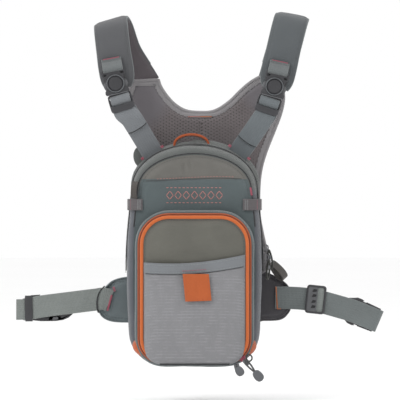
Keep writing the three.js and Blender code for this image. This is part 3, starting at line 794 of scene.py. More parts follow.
# ---- pack ------------------------------------------------------------------------------------
def build_back_panel():
    low, high = box_mm("back_panel")
    outline = pack_outline(1.5, 1.5, 1.5)
    for point in outline:
        ear = hump(point[1] - (PACK_TOP - 17), 13) * abs(point[0] - PACK_X) / 60
        point += np.array([math.copysign(5.5, point[0] - PACK_X), 4.0]) * ear
    panel = slab_piece("back_panel_pad", outline, low[1] + 0.6, high[1] - 2,
                       [NYLON, MESH_CLOTH], 1.5)
    inflated(panel, voxel=4.0, pressure=4.0, cap=2.0)
    distance = sewn_channel(panel, outline, 9, 1.8, 1.8, low[1] + 3)
    points = points_mm(panel)
    across = np.abs(points[:, 0] - PACK_X)
    quilted = (points[:, 1] > low[1] + 3) * (distance > 14)
    points[:, 1] -= 1.8 * np.exp(-((across - 24) / 2.2) ** 2) * quilted
    points[:, 1] = np.clip(points[:, 1], low[1], high[1] + 1.2)
    move_points(panel, points)
    paint(panel, lambda c, n: 1 if n.y > 0.3 and outline_distance([[c.x, c.z]], outline)[0] > 9
          else 0)
    place(panel, "root", "shell_nylon", "back_panel")


def build_rear_shell():
    profile = [(0, 4.5, 0), (-0.8, 2.2, 1.5), (-2.5, 0.6, 4.6), (-5, 0, 5.4), (-7.4, -0.2, 4.6),
               (-9.5, -0.3, 2.6), (-13, -0.3, 1.0), (-18, -0.3, 0.3), (SEAM_Y + 0.6, 0, 0),
               (SEAM_Y, 0.6, 0)]
    inner = [(SEAM_Y, 1.4, 0), (SEAM_Y + 0.6, 1.9, 0), (-12, 2, 0), (-5, 2.4, 0), (-2.4, 5, 0)]
    rings = []
    for y, inset, lip in profile + inner:
        outline = pack_outline(inset)
        away = outline_normals(outline)
        for point, normal in zip(outline, away):
            top = max(0.0, min(1.0, (point[1] - PACK_TOP + 75) / 45))
            point += normal * lip * top * (1.25 if point[0] > PACK_X else 0.85)
        rings.append(ring(outline, y - 0.2))
    shell = loft("rear_shell_cover", wrinkled(rings, 0.9, 34, 2.0), [SIDE_NYLON, NYLON, LINING])
    outer_faces = len(profile) * OUTLINE_POINTS
    inner_skin, upper_z = 2, PACK_TOP - 60
    last = len(shell.data.polygons) - 1
    for index, polygon in enumerate(shell.data.polygons):
        inside = outer_faces <= index < last - 1 or index == last
        upper = int(polygon.center.z / MM > upper_z)
        polygon.material_index = inner_skin if inside else upper
    place(shell, "root", "side_nylon", "rear_shell")
    # Inside the pack the CAD solids themselves show, so they only get a material.
    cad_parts["inner_divider"].data.materials[0] = MESH_CLOTH
    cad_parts["frame_sheet"].data.materials[0] = SHEET


def lid_bulge(x, z):
    """How far the lid's face stands out, with soft creases under the zipper's middle."""
    across = (x - PACK_X) / PACK_HALF
    up = (z - (PACK_TOP - 40)) / 40
    bulge = 3.6 * max(0, 1 - across ** 4) * math.exp(-up ** 2)
    crease = -1.7 * hump(x - PACK_X + 11, 1.8) * hump(z - PACK_TOP + 24, 10)
    crease -= 1.5 * hump(x - PACK_X + 5, 1.5) * hump(z - PACK_TOP + 19, 6)
    slanted = x - PACK_X - 24 - 0.4 * (z - PACK_TOP + 30)
    crease -= 0.9 * hump(slanted, 2.0) * hump(z - PACK_TOP + 29, 5)
    seam = -1.6 * hump(z - band_seam(x), 1.1)
    return bulge + crease + seam + 1.2 * ripple(x, 0, z, 24, 4.0) + 0.4 * ripple(x, 0, z, 9, 6.0)


def build_lid():
    back, front = LID_BACK, LID_FRONT
    inner = [(front + 2, 12.5, 8.5, 3.5), (front + 3.4, 8.3, 5.7, 3), (front + 7, 4.5, 3.5, 2.4),
             (back, 2, 2, 2)]
    rim = [(back + 0.2, 1.4, 1.4, 1.4), (back + 0.2, 0.7, 0.7, 0.7)]
    outer = [(back - 0.6, 0, 0, 0), (-32, 0.1, 0, 0), (-36, 0.8, 0.3, 0),
             (front + 6, 2.0, 1.1, 0.3), (front + 3.6, 3.8, 2.2, 0.6), (front + 1.8, 6, 3.6, 0.9),
             (front + 0.6, 8.4, 5.2, 1.2), (front, 11, 7, 1.5)]
    rings = [ring(pack_outline(*insets), y) for y, *insets in inner + rim + outer]
    rings = wrinkled(rings, 0.8, 30, 7.0)
    lid = loft("lid_cover", rings, [SIDE_NYLON, NYLON, TOP_NYLON, SLATE_NYLON, LINING])
    top_skin, slate_skin, inner_skin = 2, 3, 4
    sides = (len(rings) - 1) * OUTLINE_POINTS
    outer_start = (len(inner + rim) - 1) * OUTLINE_POINTS
    for index, polygon in enumerate(lid.data.polygons):
        if index < outer_start or index == sides:
            polygon.material_index = inner_skin
        elif index > sides:
            polygon.material_index = top_skin
        else:
            polygon.material_index = int(polygon.center.z / MM > PACK_TOP - 50)
    face_grid(lid, front, 2.2)
    push_face(lid, front, rings[-1][:, [0, 2]], 9, lid_bulge)
    for polygon in lid.data.polygons:
        if polygon.material_index == top_skin and polygon.center.z / MM < BAND_SEAM_Z:
            polygon.material_index = slate_skin
    place(lid, "lid", "shell_nylon", "lid_shell")
    return lid


def build_lid_trim(lid):
    surface = Surface(lid)
    edge = open_run(pack_outline(9.2, 5.6, 1.3, 160), lambda x, z: z > PACK_TOP - 92)
    proud = np.array([0, 0.25, 0])
    path = np.array([surface.at(x, z, fallback=LID_FRONT) for x, z in edge]) - proud
    piping = sweep("lid_piping", resample(path, 110), round_section(0.85, steps=8),
                   (0, 1, 0.01), TAPE_DARK)
    place(piping, "lid", "dark_cord")
    line = open_run(pack_outline(13, 10, 3, 160), lambda x, z: z > PACK_TOP - 70)
    rows = surface.stitches(line, 2.2, 1.0)
    sew("lid", "shell_nylon", "lid_edge_stitches", rows, FORWARD, 0.45, THREAD_DARK)
    span = np.linspace(PACK_X - 53, PACK_X + 51, 90)
    seam = np.array([surface.at(x, band_seam(x)) for x in span])
    fold = sweep("band_seam_fold", seam + np.array([0, 0.1, 0]), round_section(0.5, steps=6),
                 (0, 0, 1), THREAD_DARK)
    place(fold, "lid", "shell_nylon")
    row = [surface.at(x, band_seam(x) + 1.7) for x in span[10:-6]]
    sew("lid", "shell_nylon", "band_seam_stitches", stitch_line(row, 2.2, 1.1), FORWARD,
        0.6, THREAD_SALMON)
    build_motif(surface)


def build_motif(surface):
    """A plain embroidered row of diamonds between two lines, in place of any lettering."""
    segments = []
    middle_z = PACK_TOP - 55
    pitch, half_x, half_z = 9.0, 3.7, 4.6
    for k in range(-3, 4):
        cx = PACK_X + k * pitch
        corners = [(cx - half_x, middle_z), (cx, middle_z + half_z), (cx + half_x, middle_z),
                   (cx, middle_z - half_z)]
        for (x0, z0), (x1, z1) in zip(corners, corners[1:] + corners[:1]):
            segments.append((surface.at(x0, z0), surface.at(x1, z1)))
    for rise in (-8.2, 8.2):
        line = [surface.at(x, middle_z + rise) for x in np.linspace(PACK_X - 31, PACK_X + 31, 40)]
        segments += stitch_line(line, 3.0, 1.4)
    sew("lid", "shell_nylon", "band_embroidery", segments, FORWARD, 0.95, THREAD_SALMON)


def build_main_zipper():
    for node, body in (("main_tape_rear", "root"), ("main_tape_lid", "lid")):
        low, high = box_mm(node)
        middle = (low[1] + high[1]) / 2
        run = open_run(pack_outline(-1.0, -1.0, -1.0, 200), lambda x, z: z > low[2] + 2)
        path = resample(ring(run, middle), 150)
        section = flat_section(high[1] - low[1] - 0.3, 1.0, 0.3)
        tape = sweep(node + "_cloth", path, section, (0, 1, 0), TAPE_DARK)
        place(tape, body, "dark_cord", node)
    run = open_run(pack_outline(-1.3, -1.3, -1.3, 400), lambda x, z: z > PACK_TOP - 140)
    total = np.linalg.norm(np.diff(run, axis=0), axis=1).sum()
    fine = resample(run, int(total / 1.3))
    outward = outline_like_normals(fine)
    teeth = [((x, SEAM_Y - 2.0, z), (x, SEAM_Y + 1.5, z)) for x, z in fine]
    sew("root", "dark_cord", "main_zipper_coil", teeth, outward, 0.85, COIL_DARK, 1.1)


def outline_like_normals(run):
    """Outward normals, in 3-D, of an open counterclockwise run in XZ."""
    step = np.gradient(run, axis=0)
    step /= np.linalg.norm(step, axis=1)[:, None]
    return np.stack([step[:, 1], np.zeros(len(run)), -step[:, 0]], axis=1)


def build_gusset():
    back, front = GUSSET_HIGH[1], GUSSET_LOW[1]
    depth = back - front
    outer = [(back + 0.1, 0.9), (back - 0.15 * depth, -0.3), (back - 0.5 * depth, -1.3),
             (back - 0.8 * depth, -0.6), (front + 0.7, 0.3), (front, 1.1)]
    inner = [(front, 2.0), (front + 0.8, 2.7), (back - 0.4 * depth, 1.6), (back, 2.4)]
    rings = [ring(pocket_outline(inset), y) for y, inset in outer + inner]
    rings = wrinkled(rings, 0.5, 26, 11.0)
    rings = np.vstack([rings, rings[:1]])
    gusset = loft("pocket_gusset_cover", rings, [SLATE_NYLON, LINING], caps=(False, False))
    shade(gusset, 50, True)
    for index, polygon in enumerate(gusset.data.polygons):
        polygon.material_index = int(index // OUTLINE_POINTS >= len(outer))
    place(gusset, "lid", "side_nylon", "pocket_gusset")
    seam = ring(pocket_outline(-0.5, 200), back + 0.5)
    piping = sweep("pocket_piping", seam, round_section(0.8, steps=8), (0, 1, 0),
                   TAPE_DARK, closed=True)
    place(piping, "lid", "dark_cord")
    for side, name in ((-1, "left"), (1, "right")):
        build_corner_patch(side, name)


def pocket_run(inset, low_z, count=170):
    run = open_run(pocket_outline(inset, 400), lambda x, z: z > low_z)
    return resample(run, count)


def build_pocket_zipper():
    outer_low, outer_high = box_mm("pocket_tape_outer")
    run = pocket_run(3.0, POCKET_BOTTOM + 3.2)
    path = ring(run, (outer_low[1] + outer_high[1]) / 2 - 0.2)
    tape = sweep("pocket_tape_outer_cloth", path, flat_section(2.3, 1.5, 0.5, crown=0.35),
                 outline_like_normals(run), RUST_TAPE)
    place(tape, "lid", "orange_tape", "pocket_tape_outer")
    inner_low, inner_high = box_mm("pocket_tape_inner")
    run = pocket_run(6.3, POCKET_BOTTOM + 6.8)
    path = ring(run, (inner_low[1] + inner_high[1]) / 2 + 0.1)
    tape = sweep("pocket_tape_inner_cloth", path, flat_section(3.9, 1.5, 0.5, crown=0.45),
                 outline_like_normals(run), ORANGE_TAPE)
    place(tape, "pocket_panel", "orange_tape", "pocket_tape_inner")
    run = pocket_run(4.25, POCKET_BOTTOM + 5, 330)
    out = outline_like_normals(run)[:, [0, 2]]
    y = outer_low[1] + 0.1
    teeth = [((x - 0.8 * nx, y, z - 0.8 * nz), (x + 0.8 * nx, y, z + 0.8 * nz)) for (x, z),
             (nx, nz) in zip(run, out)]
    sew("lid", "orange_tape", "pocket_zipper_coil", teeth, FORWARD, 1.0, COIL_RED, 0.9)
    corner = np.array([PACK_X + POCKET_HALF - SLIDER_ARC, outer_low[1] - 1.0,
                       POCKET_BOTTOM + SLIDER_ARC])
    ends = [corner + 20.8 * np.array([math.cos(t), 0, math.sin(t)])
            for t in (math.radians(-60), math.radians(-43))]
    sew("lid", "orange_tape", "pocket_zipper_tack", tack(ends[0], ends[1], FORWARD, 4.2, 0.6),
        FORWARD, 0.7, THREAD_PINK)


def build_corner_patch(side, name):
    """A small orange wedge that fills the corner between the pack's side and the pocket."""
    outline = pocket_outline(0.0, 240) - np.array([PACK_X, 0])
    edge = outline[(outline[:, 0] * side > 0) & (outline[:, 1] < POCKET_BOTTOM + 40)]
    edge = edge[np.argsort(edge[:, 1])]
    levels = np.linspace(POCKET_BOTTOM + 10, POCKET_BOTTOM + 27, 9)
    rings = []
    for level in levels:
        inner = abs(np.interp(level, edge[:, 1], edge[:, 0])) - 1.2
        swell = math.sin(math.pi * (level - levels[0] + 1.5) / (levels[-1] - levels[0] + 3)) ** 0.6
        reach = inner + 1.4 + 5.2 * swell
        front = GUSSET_LOW[1] + 5 - 3 * swell
        corner = [(inner, front), (inner + 0.3 * (reach - inner), front + 0.6),
                  (reach - 0.8, front + 6.0), (reach, front + 11),
                  (reach - 0.8, GUSSET_HIGH[1] - 0.3), (inner, GUSSET_HIGH[1] - 0.3)]
        rings.append([(PACK_X + side * x, y, level) for x, y in corner])
    patch = loft(f"corner_patch_{name}", rings, ORANGE_FLAT, smooth_angle=60)
    place(patch, "lid", "orange_tape", f"corner_gusset_{name}")


def build_front_panel():
    back, front = PANEL_HIGH[1], PANEL_LOW[1]
    levels = [(back, 6.5), (back, 5.2), (back - 0.6, 4.7), (front + 0.8, 4.6),
              (front + 0.1, 5.4), (front, 7.2)]
    rings = [ring(pocket_outline(inset), y) for y, inset in levels]
    panel = loft("front_panel_cover", rings, [OLIVE_NYLON, LINING])
    face_grid(panel, front, 2.4)

    def puff(x, z):
        above = max(0.0, min(1.0, (z - POUCH_HIGH[2] + 2) / 16))
        crease = 1.1 * ripple(x, 0, z * 2.0, 26, 9.0) + 0.5 * ripple(x, 0, z, 10, 3.0)
        pucker = 0.8 * math.sin(x / 3.1 + 2 * math.sin(x / 11)) * hump(z - POUCH_HIGH[2] - 6, 5)
        return above * (2.9 * (1 - ((x - PACK_X) / 62) ** 4) + crease + pucker * (x < PACK_X))

    push_face(panel, front, rings[-1][:, [0, 2]], 8, puff)
    for polygon in panel.data.polygons:
        polygon.material_index = int(polygon.normal.y > 0.5)
    place(panel, "pocket_panel", "shell_nylon", "front_panel")
    surface = Surface(panel)
    line = open_run(pocket_outline(10.2, 200), lambda x, z: z > POUCH_HIGH[2] + 3)
    rows = surface.stitches(line, 2.2, 1.0)
    sew("pocket_panel", "shell_nylon", "panel_edge_stitches", rows, FORWARD, 0.45, THREAD_DARK)


# The ripstop pouch: u runs across it, v up it.
POUCH_FOOT = POCKET_BOTTOM + 1.2


def pouch_half(z):
    """Half the pouch's width at a height, following the pocket's round lower corners."""
    radius = 20.5
    drop = min(max(POUCH_FOOT + radius - z, 0), radius * 0.995)
    return POCKET_HALF - POCKET_LOW_RADIUS + math.sqrt(radius ** 2 - drop ** 2)


def pouch_top(u):
    return POUCH_HIGH[2] + 0.1 - 2.4 * math.sin(math.pi * u) * (1 - 0.3 * u) + 8.6 * u ** 2.2


def pouch_point(u, v, lift=0.0):
    z = POUCH_FOOT + v * (pouch_top(u) - POUCH_FOOT)
    x = PACK_X + (2 * u - 1) * pouch_half(z)
    side = (1 - abs(2 * u - 1) ** 9) ** 0.6
    foot = min(1.0, v / 0.05) ** 0.5
    belly = 0.74 + 0.26 * math.sin(math.pi * min(1, v * 1.15)) - 0.1 * v ** 4
    depth = (PANEL_LOW[1] - POUCH_LOW[1] - 0.6) * side * foot * belly
    folds = 0.8 * ripple(x * 0.6, 0, z, 26, 13.0) + 0.4 * math.sin(z / 7 + x / 60) * (1 - v) * side
    folds += 0.35 * ripple(x, 0, z, 9, 17.0)
    sag = 1.0 * hump(x - PACK_X - 3, 20) * hump(v - 0.93, 0.12)
    return np.array([x, PANEL_LOW[1] - 0.5 - depth - (folds - sag) * side * foot - lift, z])


def pouch_sheet(name, v_low, v_high, lift, thick, material, columns=70, rows=60):
    us = np.linspace(0, 1, columns)
    us = 0.5 - 0.5 * np.cos(math.pi * us) * 0.35 - 0.5 * (1 - 2 * us) * 0.65
    vs = np.linspace(v_low, v_high, rows)
    front = [pouch_point(u, v, lift) for v in vs for u in us]
    back = [p + np.array([0, thick, 0]) for p in front]
    size = len(front)
    faces = []
    for r in range(rows - 1):
        for c in range(columns - 1):
            a = r * columns + c
            quad = (a, a + 1, a + columns + 1, a + columns)
            faces += [quad, tuple(size + i for i in reversed(quad))]
    border = grid_border(rows, columns)
    for a, b in zip(border, border[1:] + border[:1]):
        faces.append((a, size + a, size + b, b))
    return new_piece(name, front + back, faces, material)


def build_pouch():
    pouch = pouch_sheet("pouch_cloth", 0.0, 1.0, 0.0, 1.1, RIPSTOP)
    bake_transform(pouch)
    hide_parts("ripstop_pouch")
    hem_v = 0.9
    hem = pouch_sheet("pouch_hem_band", hem_v, 1.004, 0.7, 1.0, HEM_CLOTH, rows=10)
    place(hem, "pocket_panel", "ripstop")
    us = np.linspace(0.02, 0.98, 60)
    rows = stitch_line([pouch_point(u, hem_v + 0.012, 0.85) for u in us], 2.2, 1.0)
    rows += stitch_line([pouch_point(u, 0.985, 0.85) for u in us], 2.2, 1.0)
    sew("pocket_panel", "ripstop", "pouch_hem_stitches", rows, FORWARD, 0.5, THREAD_GREY)
    # Painted shadow: a dark cord just under the hem band's edge.
    shadow = [pouch_point(u, hem_v - 0.004, 0.35) for u in us]
    fold = sweep("pouch_hem_painted_shadow", shadow, round_section(0.55, steps=6), (0, 0, 1), THREAD_DARK)
    place(fold, "pocket_panel", "ripstop")
    foot = [pouch_point(u, 0.006, 0.25) for u in np.linspace(0.03, 0.97, 60)]
    cord = sweep("pouch_foot_piping", foot, round_section(1.1, steps=8), (0, 0, 1), TAPE_DARK)
    place(cord, "lid", "dark_cord")
    low = box_mm("pull_tab")[0][0]
    rows = stitch_line([pouch_point((x - PACK_X) / 2 / pouch_half(-280) + 0.5, hem_v + 0.028, 0.95)
                        for x in np.linspace(low + 1, low + 28, 20)], 1.7, 0.8)
    sew("pocket_panel", "ripstop", "pouch_tab_stitches", rows, FORWARD, 0.7, THREAD_PINK)


def build_pull_tab():
    low, high = box_mm("pull_tab")
    width, tall, drift = high[0] - low[0] - 4.5, high[2] - low[2] - 1, 3.0
    top_z, columns, rows = high[2] + 1.5, 15, 17
    front, back = [], []
    for r in range(rows):
        down = r / (rows - 1)
        for c in range(columns):
            u = c / (columns - 1) * 2 - 1
            x = (low[0] + high[0]) / 2 + 0.7 + u * width / 2 + drift * (down - 0.5)
            z = top_z - down * tall + 0.5 * u * down
            crease = 0.8 * hump(x - low[0] - 17, 0.9) * hump(down - 0.55, 0.22)
            wave = 0.4 * ripple(x, 0, z, 12, 1.0)
            bow = 1.3 * down ** 2 + 0.9 * (1 - u * u) * down + wave - crease
            edge = 0.5 if abs(u) > 0.93 or down > 0.96 else 0.0
            front.append((x, high[1] - 1.9 - bow + edge, z))
            back.append((x, high[1] - 0.2 - bow - edge * 0.3, z))
    size = len(front)
    faces = []
    for r in range(rows - 1):
        for c in range(columns - 1):
            a = r * columns + c
            faces += [(a, a + columns, a + columns + 1, a + 1),
                      (size + a, size + a + 1, size + a + columns + 1, size + a + columns)]
    border = grid_border(rows, columns)
    for a, b in zip(border, border[1:] + border[:1]):
        faces.append((a, b, size + b, size + a))
    tab = new_piece("pull_tab_flap", front + back, faces, ORANGE_TAB)
    place(tab, "pull_tab", "orange_tab", "pull_tab")
    surface = Surface(tab)
    corners = [front[2 * columns + 1], front[(rows - 2) * columns + 1],
               front[(rows - 2) * columns + columns - 2], front[2 * columns + columns - 2]]
    line = resample(np.array(corners)[:, [0, 2]], 60)
    stitches = surface.stitches(line, 1.9, 0.9, low[1])
    sew("pull_tab", "orange_tab", "pull_tab_stitches", stitches, FORWARD, 0.4, THREAD_RUST)


def build_tool_tabs():
    for side, name in ((-1, "left"), (1, "right")):
        middle_z = sum(box_mm(f"tool_tab_{name}"))[2] / 2
        route = [(73.0, -32.0), (72.9, -37.5), (72.0, -42.6), (69.0, -46.3), (64.0, -48.4),
                 (59.5, -49.4), (57.0, -48.8)]
        reach = 0 if side < 0 else 4.0
        path = catmull([(PACK_X + side * (x - reach * np.clip((72.9 - x) / 10, 0, 1)), y, middle_z)
                        for x, y in route], 5)
        tab = sweep(f"tool_tab_{name}_webbing", path, flat_section(12.6, 1.5),
                    (0, 0, 1), TAB_WEBBING)
        place(tab, "lid", "webbing", f"tool_tab_{name}")
        for columns, cotton, label in (((69.6,), THREAD_PINK, "pink"),
                                       ((62.0, 59.6), THREAD_GREY, "grey")):
            rows = []
            for x in columns:
                y = np.interp(x, [57, 59.5, 64, 69, 72], [-49.6, -50.2, -49.3, -47.2, -43.6])
                x -= reach * min(1, (72.9 - x) / 10)
                out = (side * 0.4, -0.9, 0)
                rows += tack((PACK_X + side * x, y, middle_z - 5),
                             (PACK_X + side * x, y, middle_z + 5), out, 1.6, 0.8)
            sew("lid", "webbing", f"tool_tab_{name}_tacks_{label}", rows,
                (side * 0.4, -0.9, 0), 0.5, cotton)
    middle_z = sum(box_mm("tool_tab_left"))[2] / 2
    route = ((66, -47.6, 7), (66.5, -50.2, 13), (66, -50.0, 20), (64.5, -47.0, 25))
    path = catmull([(PACK_X - x, y, middle_z + z) for x, y, z in route], 6)
    strip = sweep("tool_strip_left", path, flat_section(7.0, 1.4), (1, -0.35, 0), DARK_WEBBING)
    place(strip, "lid", "webbing")
    rows = tack((PACK_X + 62.6, -48.6, middle_z + 10.5), (PACK_X + 61.2, -49.4, middle_z + 18.5),
                (0.3, -0.95, 0), 2.2)
    sew("lid", "webbing", "tool_tack_right", rows, (0.3, -0.95, 0), 0.6, THREAD_PINK)


def build_haul_loop():
    low, high = box_mm("haul_loop")
    cx, half = (low[0] + high[0]) / 2, (high[0] - low[0]) / 2 - 2.2
    base, rise = low[2] + 0.6, high[2] - low[2] - 2.0
    turns = np.linspace(0, math.pi, 40)
    path = [(cx - half * math.cos(t), (low[1] + high[1]) / 2, base + rise * math.sin(t) ** 0.9)
            for t in turns]
    loop = sweep("haul_loop_strap", path, flat_section(9.5, 2.4, 0.5), (0, 1, -0.12), RUST_TAPE)
    place(loop, "root", "orange_tab", "haul_loop")


# ---- sliders and pulls -----------------------------------------------------------------------
def oriented(points, origin, tilt):
    """Turns local (x, y, z) points about Y by tilt degrees and moves them to origin."""
    turn = math.radians(tilt)
    points = np.asarray(points, float)
    x = points[:, 0] * math.cos(turn) + points[:, 2] * math.sin(turn)
    z = -points[:, 0] * math.sin(turn) + points[:, 2] * math.cos(turn)
    return np.stack([x, points[:, 1], z], axis=1) + np.asarray(origin, float)


def plate(name, outline, low_y, high_y, material, origin=(0, 0, 0), tilt=0, holes=(), bevel=0.6):
    """A plate with holes, its outline in local XZ, bevelled all round."""
    work = bmesh.new()
    edges = []
    for loop in [outline, *holes]:
        verts = [work.verts.new((x, low_y, z)) for x, z in loop]
        edges += [work.edges.new((a, b)) for a, b in zip(verts, verts[1:] + verts[:1])]
    bmesh.ops.triangle_fill(work, use_beauty=True, use_dissolve=True, edges=edges)
    body = bmesh.ops.extrude_face_region(work, geom=work.faces[:])
    moved = [v for v in body["geom"] if isinstance(v, bmesh.types.BMVert)]
    bmesh.ops.translate(work, vec=(0, high_y - low_y, 0), verts=moved)
    bmesh.ops.recalc_face_normals(work, faces=work.faces)
    work.verts.index_update()
    points = oriented([v.co for v in work.verts], origin, tilt)
    faces = [[v.index for v in f.verts] for f in work.faces]
    work.free()
    piece = new_piece(name, points, faces, material)
    return bevelled(piece, bevel) if bevel else piece


def rounded(half_x, low_z, high_z, radius, steps=5):
    corners = [(half_x - radius, low_z + radius, -90), (half_x - radius, high_z - radius, 0),
               (-half_x + radius, high_z - radius, 90), (-half_x + radius, low_z + radius, 180)]
    points = []
    for cx, cz, start in corners:
        points += arc(cx, cz, radius, radius, start, start + 90, steps)
    return points


def oblong(low_x, low_z, high_x, high_z):
    return [(low_x, low_z), (high_x, low_z), (high_x, high_z), (low_x, high_z)]


def mirrored(half):
    """A closed outline from its right half, listed from the top down."""
    return [(-x, z) for x, z in half] + half[::-1]


def smooth_loop(points, per_span, count):
    return resample(catmull(points, per_span, closed=True), count, closed=True)


def joined(name, pieces):
    """One piece from several, keeping their materials."""
    work = bmesh.new()
    materials = []
    for piece in pieces:
        before = len(work.faces)
        work.from_mesh(piece.data)
        work.faces.ensure_lookup_table()
        for face in work.faces[before:]:
            material = piece.data.materials[face.material_index]
            if material not in materials:
                materials.append(material)
            face.material_index = materials.index(material)
        bpy.data.objects.remove(piece)
    mesh = bpy.data.meshes.new(name)
    work.to_mesh(mesh)
    work.free()
    for material in materials:
        mesh.materials.append(material)
    result = bpy.data.objects.new(name, mesh)
    bpy.context.scene.collection.objects.link(result)
    return result


def build_main_sliders():
    for name, reach in (("upper", (3.0, 6, -22)), ("lower", (-1.5, 1, -22))):
        low, high = box_mm(f"main_slider_{name}")
        centre = (low + high) / 2
        parts = []
        for dx, half_y, half_z, grow in ((-1.1, 3.7, 4.4, 0.9), (1.0, 3.5, 4.1, 0.8)):
            outline = [(y, z) for y, z in rounded(half_y, -half_z, half_z, 2.4, 4)]
            points = [(centre[0] + dx + s * grow, centre[1] + y, centre[2] + z) for s in (-0.5, 0.5)
                      for y, z in outline]
            count = len(outline)
            faces = [(i, (i + 1) % count, count + (i + 1) % count, count + i) for i in range(count)]
            faces += [tuple(reversed(range(count))), tuple(count + i for i in range(count))]
            parts.append(bevelled(new_piece("part", points, faces, METAL), 0.25))
        bridge = catmull([(high[0] - 1.6, centre[1], centre[2] + 3),
                          (high[0] + 0.4, centre[1], centre[2] + 2.2),
                          (high[0] + 0.9, centre[1], centre[2] - 1),
                          (high[0] - 0.6, centre[1], centre[2] - 3)], 5)
        parts.append(sweep("part", bridge, round_section(0.7, steps=8), (0, 1, 0), METAL))
        place(joined(f"main_slider_{name}_body", parts), f"main_slider_{name}", "zipper_metal",
              f"main_slider_{name}")
        top = box_mm(f"main_pull_{name}")[1]
        start = np.array([75.6, -23.9 if name == "upper" else -28.9, top[2] - 0.3])
        reach = np.array(reach, float)
        aside = np.array([0.9, 1.2, 0]) if name == "lower" else np.array([1.4, 0.3, 0])
        loop = [start, start + reach * 0.3 + aside * 1.2, start + reach * 0.72 + aside * 1.5,
                start + reach * 0.95, start + reach * 0.72 - aside * 1.5,
                start + reach * 0.3 - aside * 1.2]
        cord = sweep("part", smooth_loop(loop, 8, 60), round_section(1.15, steps=8),
                     (0.3, 0.2, 1), CORD, closed=True)
        grip = sweep("part", resample(np.array([start + reach * 0.26, start + reach * 0.44]), 6),
                     round_section(2.1, 1.7, steps=10), (0, 1, 0), PULL_RUBBER)
        place(joined(f"main_pull_{name}_cord", [cord, grip]), f"main_pull_{name}", "dark_cord",
              f"main_pull_{name}")


def build_pocket_sliders():
    for name, swing, length, neck in (("right", -41, 26.0, 12.0), ("left", -33, 11.5, 2.0)):
        node = f"pocket_slider_{name}"
        low, high = box_mm(node)
        centre = (low + high) / 2
        radial = math.degrees(math.atan2(centre[2] - (POCKET_BOTTOM + SLIDER_ARC),
                                         centre[0] - (PACK_X + POCKET_HALF - SLIDER_ARC)))
        parts = []
        for y, half_x, half_z in ((high[1] - 1.0, 3.1, 3.9), (high[1] - 2.6, 2.9, 3.6)):
            parts.append(plate("part", rounded(half_x, -half_z, half_z, 2.0, 4), y, y + 0.8, METAL,
                               (centre[0], 0, centre[2]), 90 - radial, bevel=0.25))
        bridge = catmull([(0, high[1] - 2.2, 2.8), (0, high[1] - 4.2, 1.8), (0, high[1] - 4.6, -1),
                          (0, high[1] - 2.4, -2.8)], 5)
        parts.append(sweep("part", oriented(bridge, (centre[0], 0, centre[2]), 90 - radial),
                           round_section(0.8, steps=8), (0.7, 0, 0.7), METAL))
        if name == "right":
            turns = np.linspace(0, 2 * math.pi, 32, endpoint=False)
            cord = [(centre[0] + 3.0 + 3.1 * math.cos(t), high[1] - 4.4,
                     centre[2] + 4.6 + 3.5 * math.sin(t)) for t in turns]
            parts.append(sweep("part", cord, round_section(0.85, steps=8), (0, 1, 0),
                               CORD, closed=True))
        place(joined(node + "_body", parts), node, "zipper_metal", node)
        top = np.array([centre[0], high[1] - 5.2, centre[2]])
        drop = mirrored([(2.2, 6.8), (4.2, 4.6), (5.0, 1.2), (4.9, -2.4), (3.6, -5.0), (1.2, -6.2)])
        drop = [(x, z - length + 6) for x, z in drop]
        if name == "left":
            drop = [(x * 0.92, z * 0.82 - 1.2) for x, z in drop]
        paddle = plate("part", smooth_loop(drop, 4, 40), -1.4, 1.4, PULL_RUBBER, top,
                       swing, bevel=0.7)
        stem_path = [(0, 0, 1.2), (1.7, 0, -0.8), (1.5, 0, -neck * 0.6),
                     (0, 0, -neck - 1.8), (-1.5, 0, -neck * 0.6), (-1.7, 0, -0.8)]
        stem_path = oriented(stem_path, top, swing)
        stem = sweep("part", smooth_loop(stem_path, 6, 40), round_section(1.0, steps=8),
                     (0, 1, 0), THREAD_DARK, closed=True)
        place(joined(f"pocket_pull_{name}_drop", [paddle, stem]), f"pocket_pull_{name}",
              "pull_rubber", f"pocket_pull_{name}")


# ---- harness ---------------------------------------------------------------------------------
def yoke_centre(z):
    top_x, low_x, top_z, low_z = 2.0, PACK_X, YOKE_HIGH[2], YOKE_LOW[2] + 2
    return top_x + (low_x - top_x) * (top_z - z) / (top_z - low_z)


def yoke_outline():
    right = [(56, -320), (61, -316), (62, -310), (62, -286), (62, -272), (70, -265), (79, -259),
             (82.5, -250), (78, -234), (73, -214), (69.5, -196), (68.5, -170), (70, -148),
             (75, -128), (83, -106), (90, -86), (93, -70), (92, -56)]
    neck = [(66, -41.5), (54, -48.6), (43, -58), (30, -71), (15, -80.5), (0, -82), (-17, -80),
            (-31, -71), (-43, -56), (-47, -46)]
    left = [(-78, -47), (-86, -72), (-84, -88), (-75, -106), (-67.5, -128), (-65, -148),
            (-65, -170), (-66.5, -196), (-70, -214), (-73.5, -234), (-76, -248), (-74, -258),
            (-69, -266), (-66, -274), (-66, -290), (-66, -310), (-64, -317), (-58, -320)]
    loop = resample(np.vstack([catmull(part, 5) for part in (right, neck, left)]), 300, closed=True)
    loop[:, 0] += [yoke_centre(z) for z in loop[:, 1]]
    return loop


def build_ear():
    """The rear shell's small flap that shows beside the lid's upper left corner."""
    outline = [(-56, -119.5), (-63, -120.6), (-69.5, -122.4), (-72.6, -126.4), (-73.6, -131.6),
               (-72.6, -137.4), (-69.6, -142.4), (-62, -147), (-54, -138)]
    ear = plate("pack_ear", smooth_loop(outline, 4, 40), -7.2, -3.0, NYLON, bevel=1.3)
    place(ear, "root", "shell_nylon")


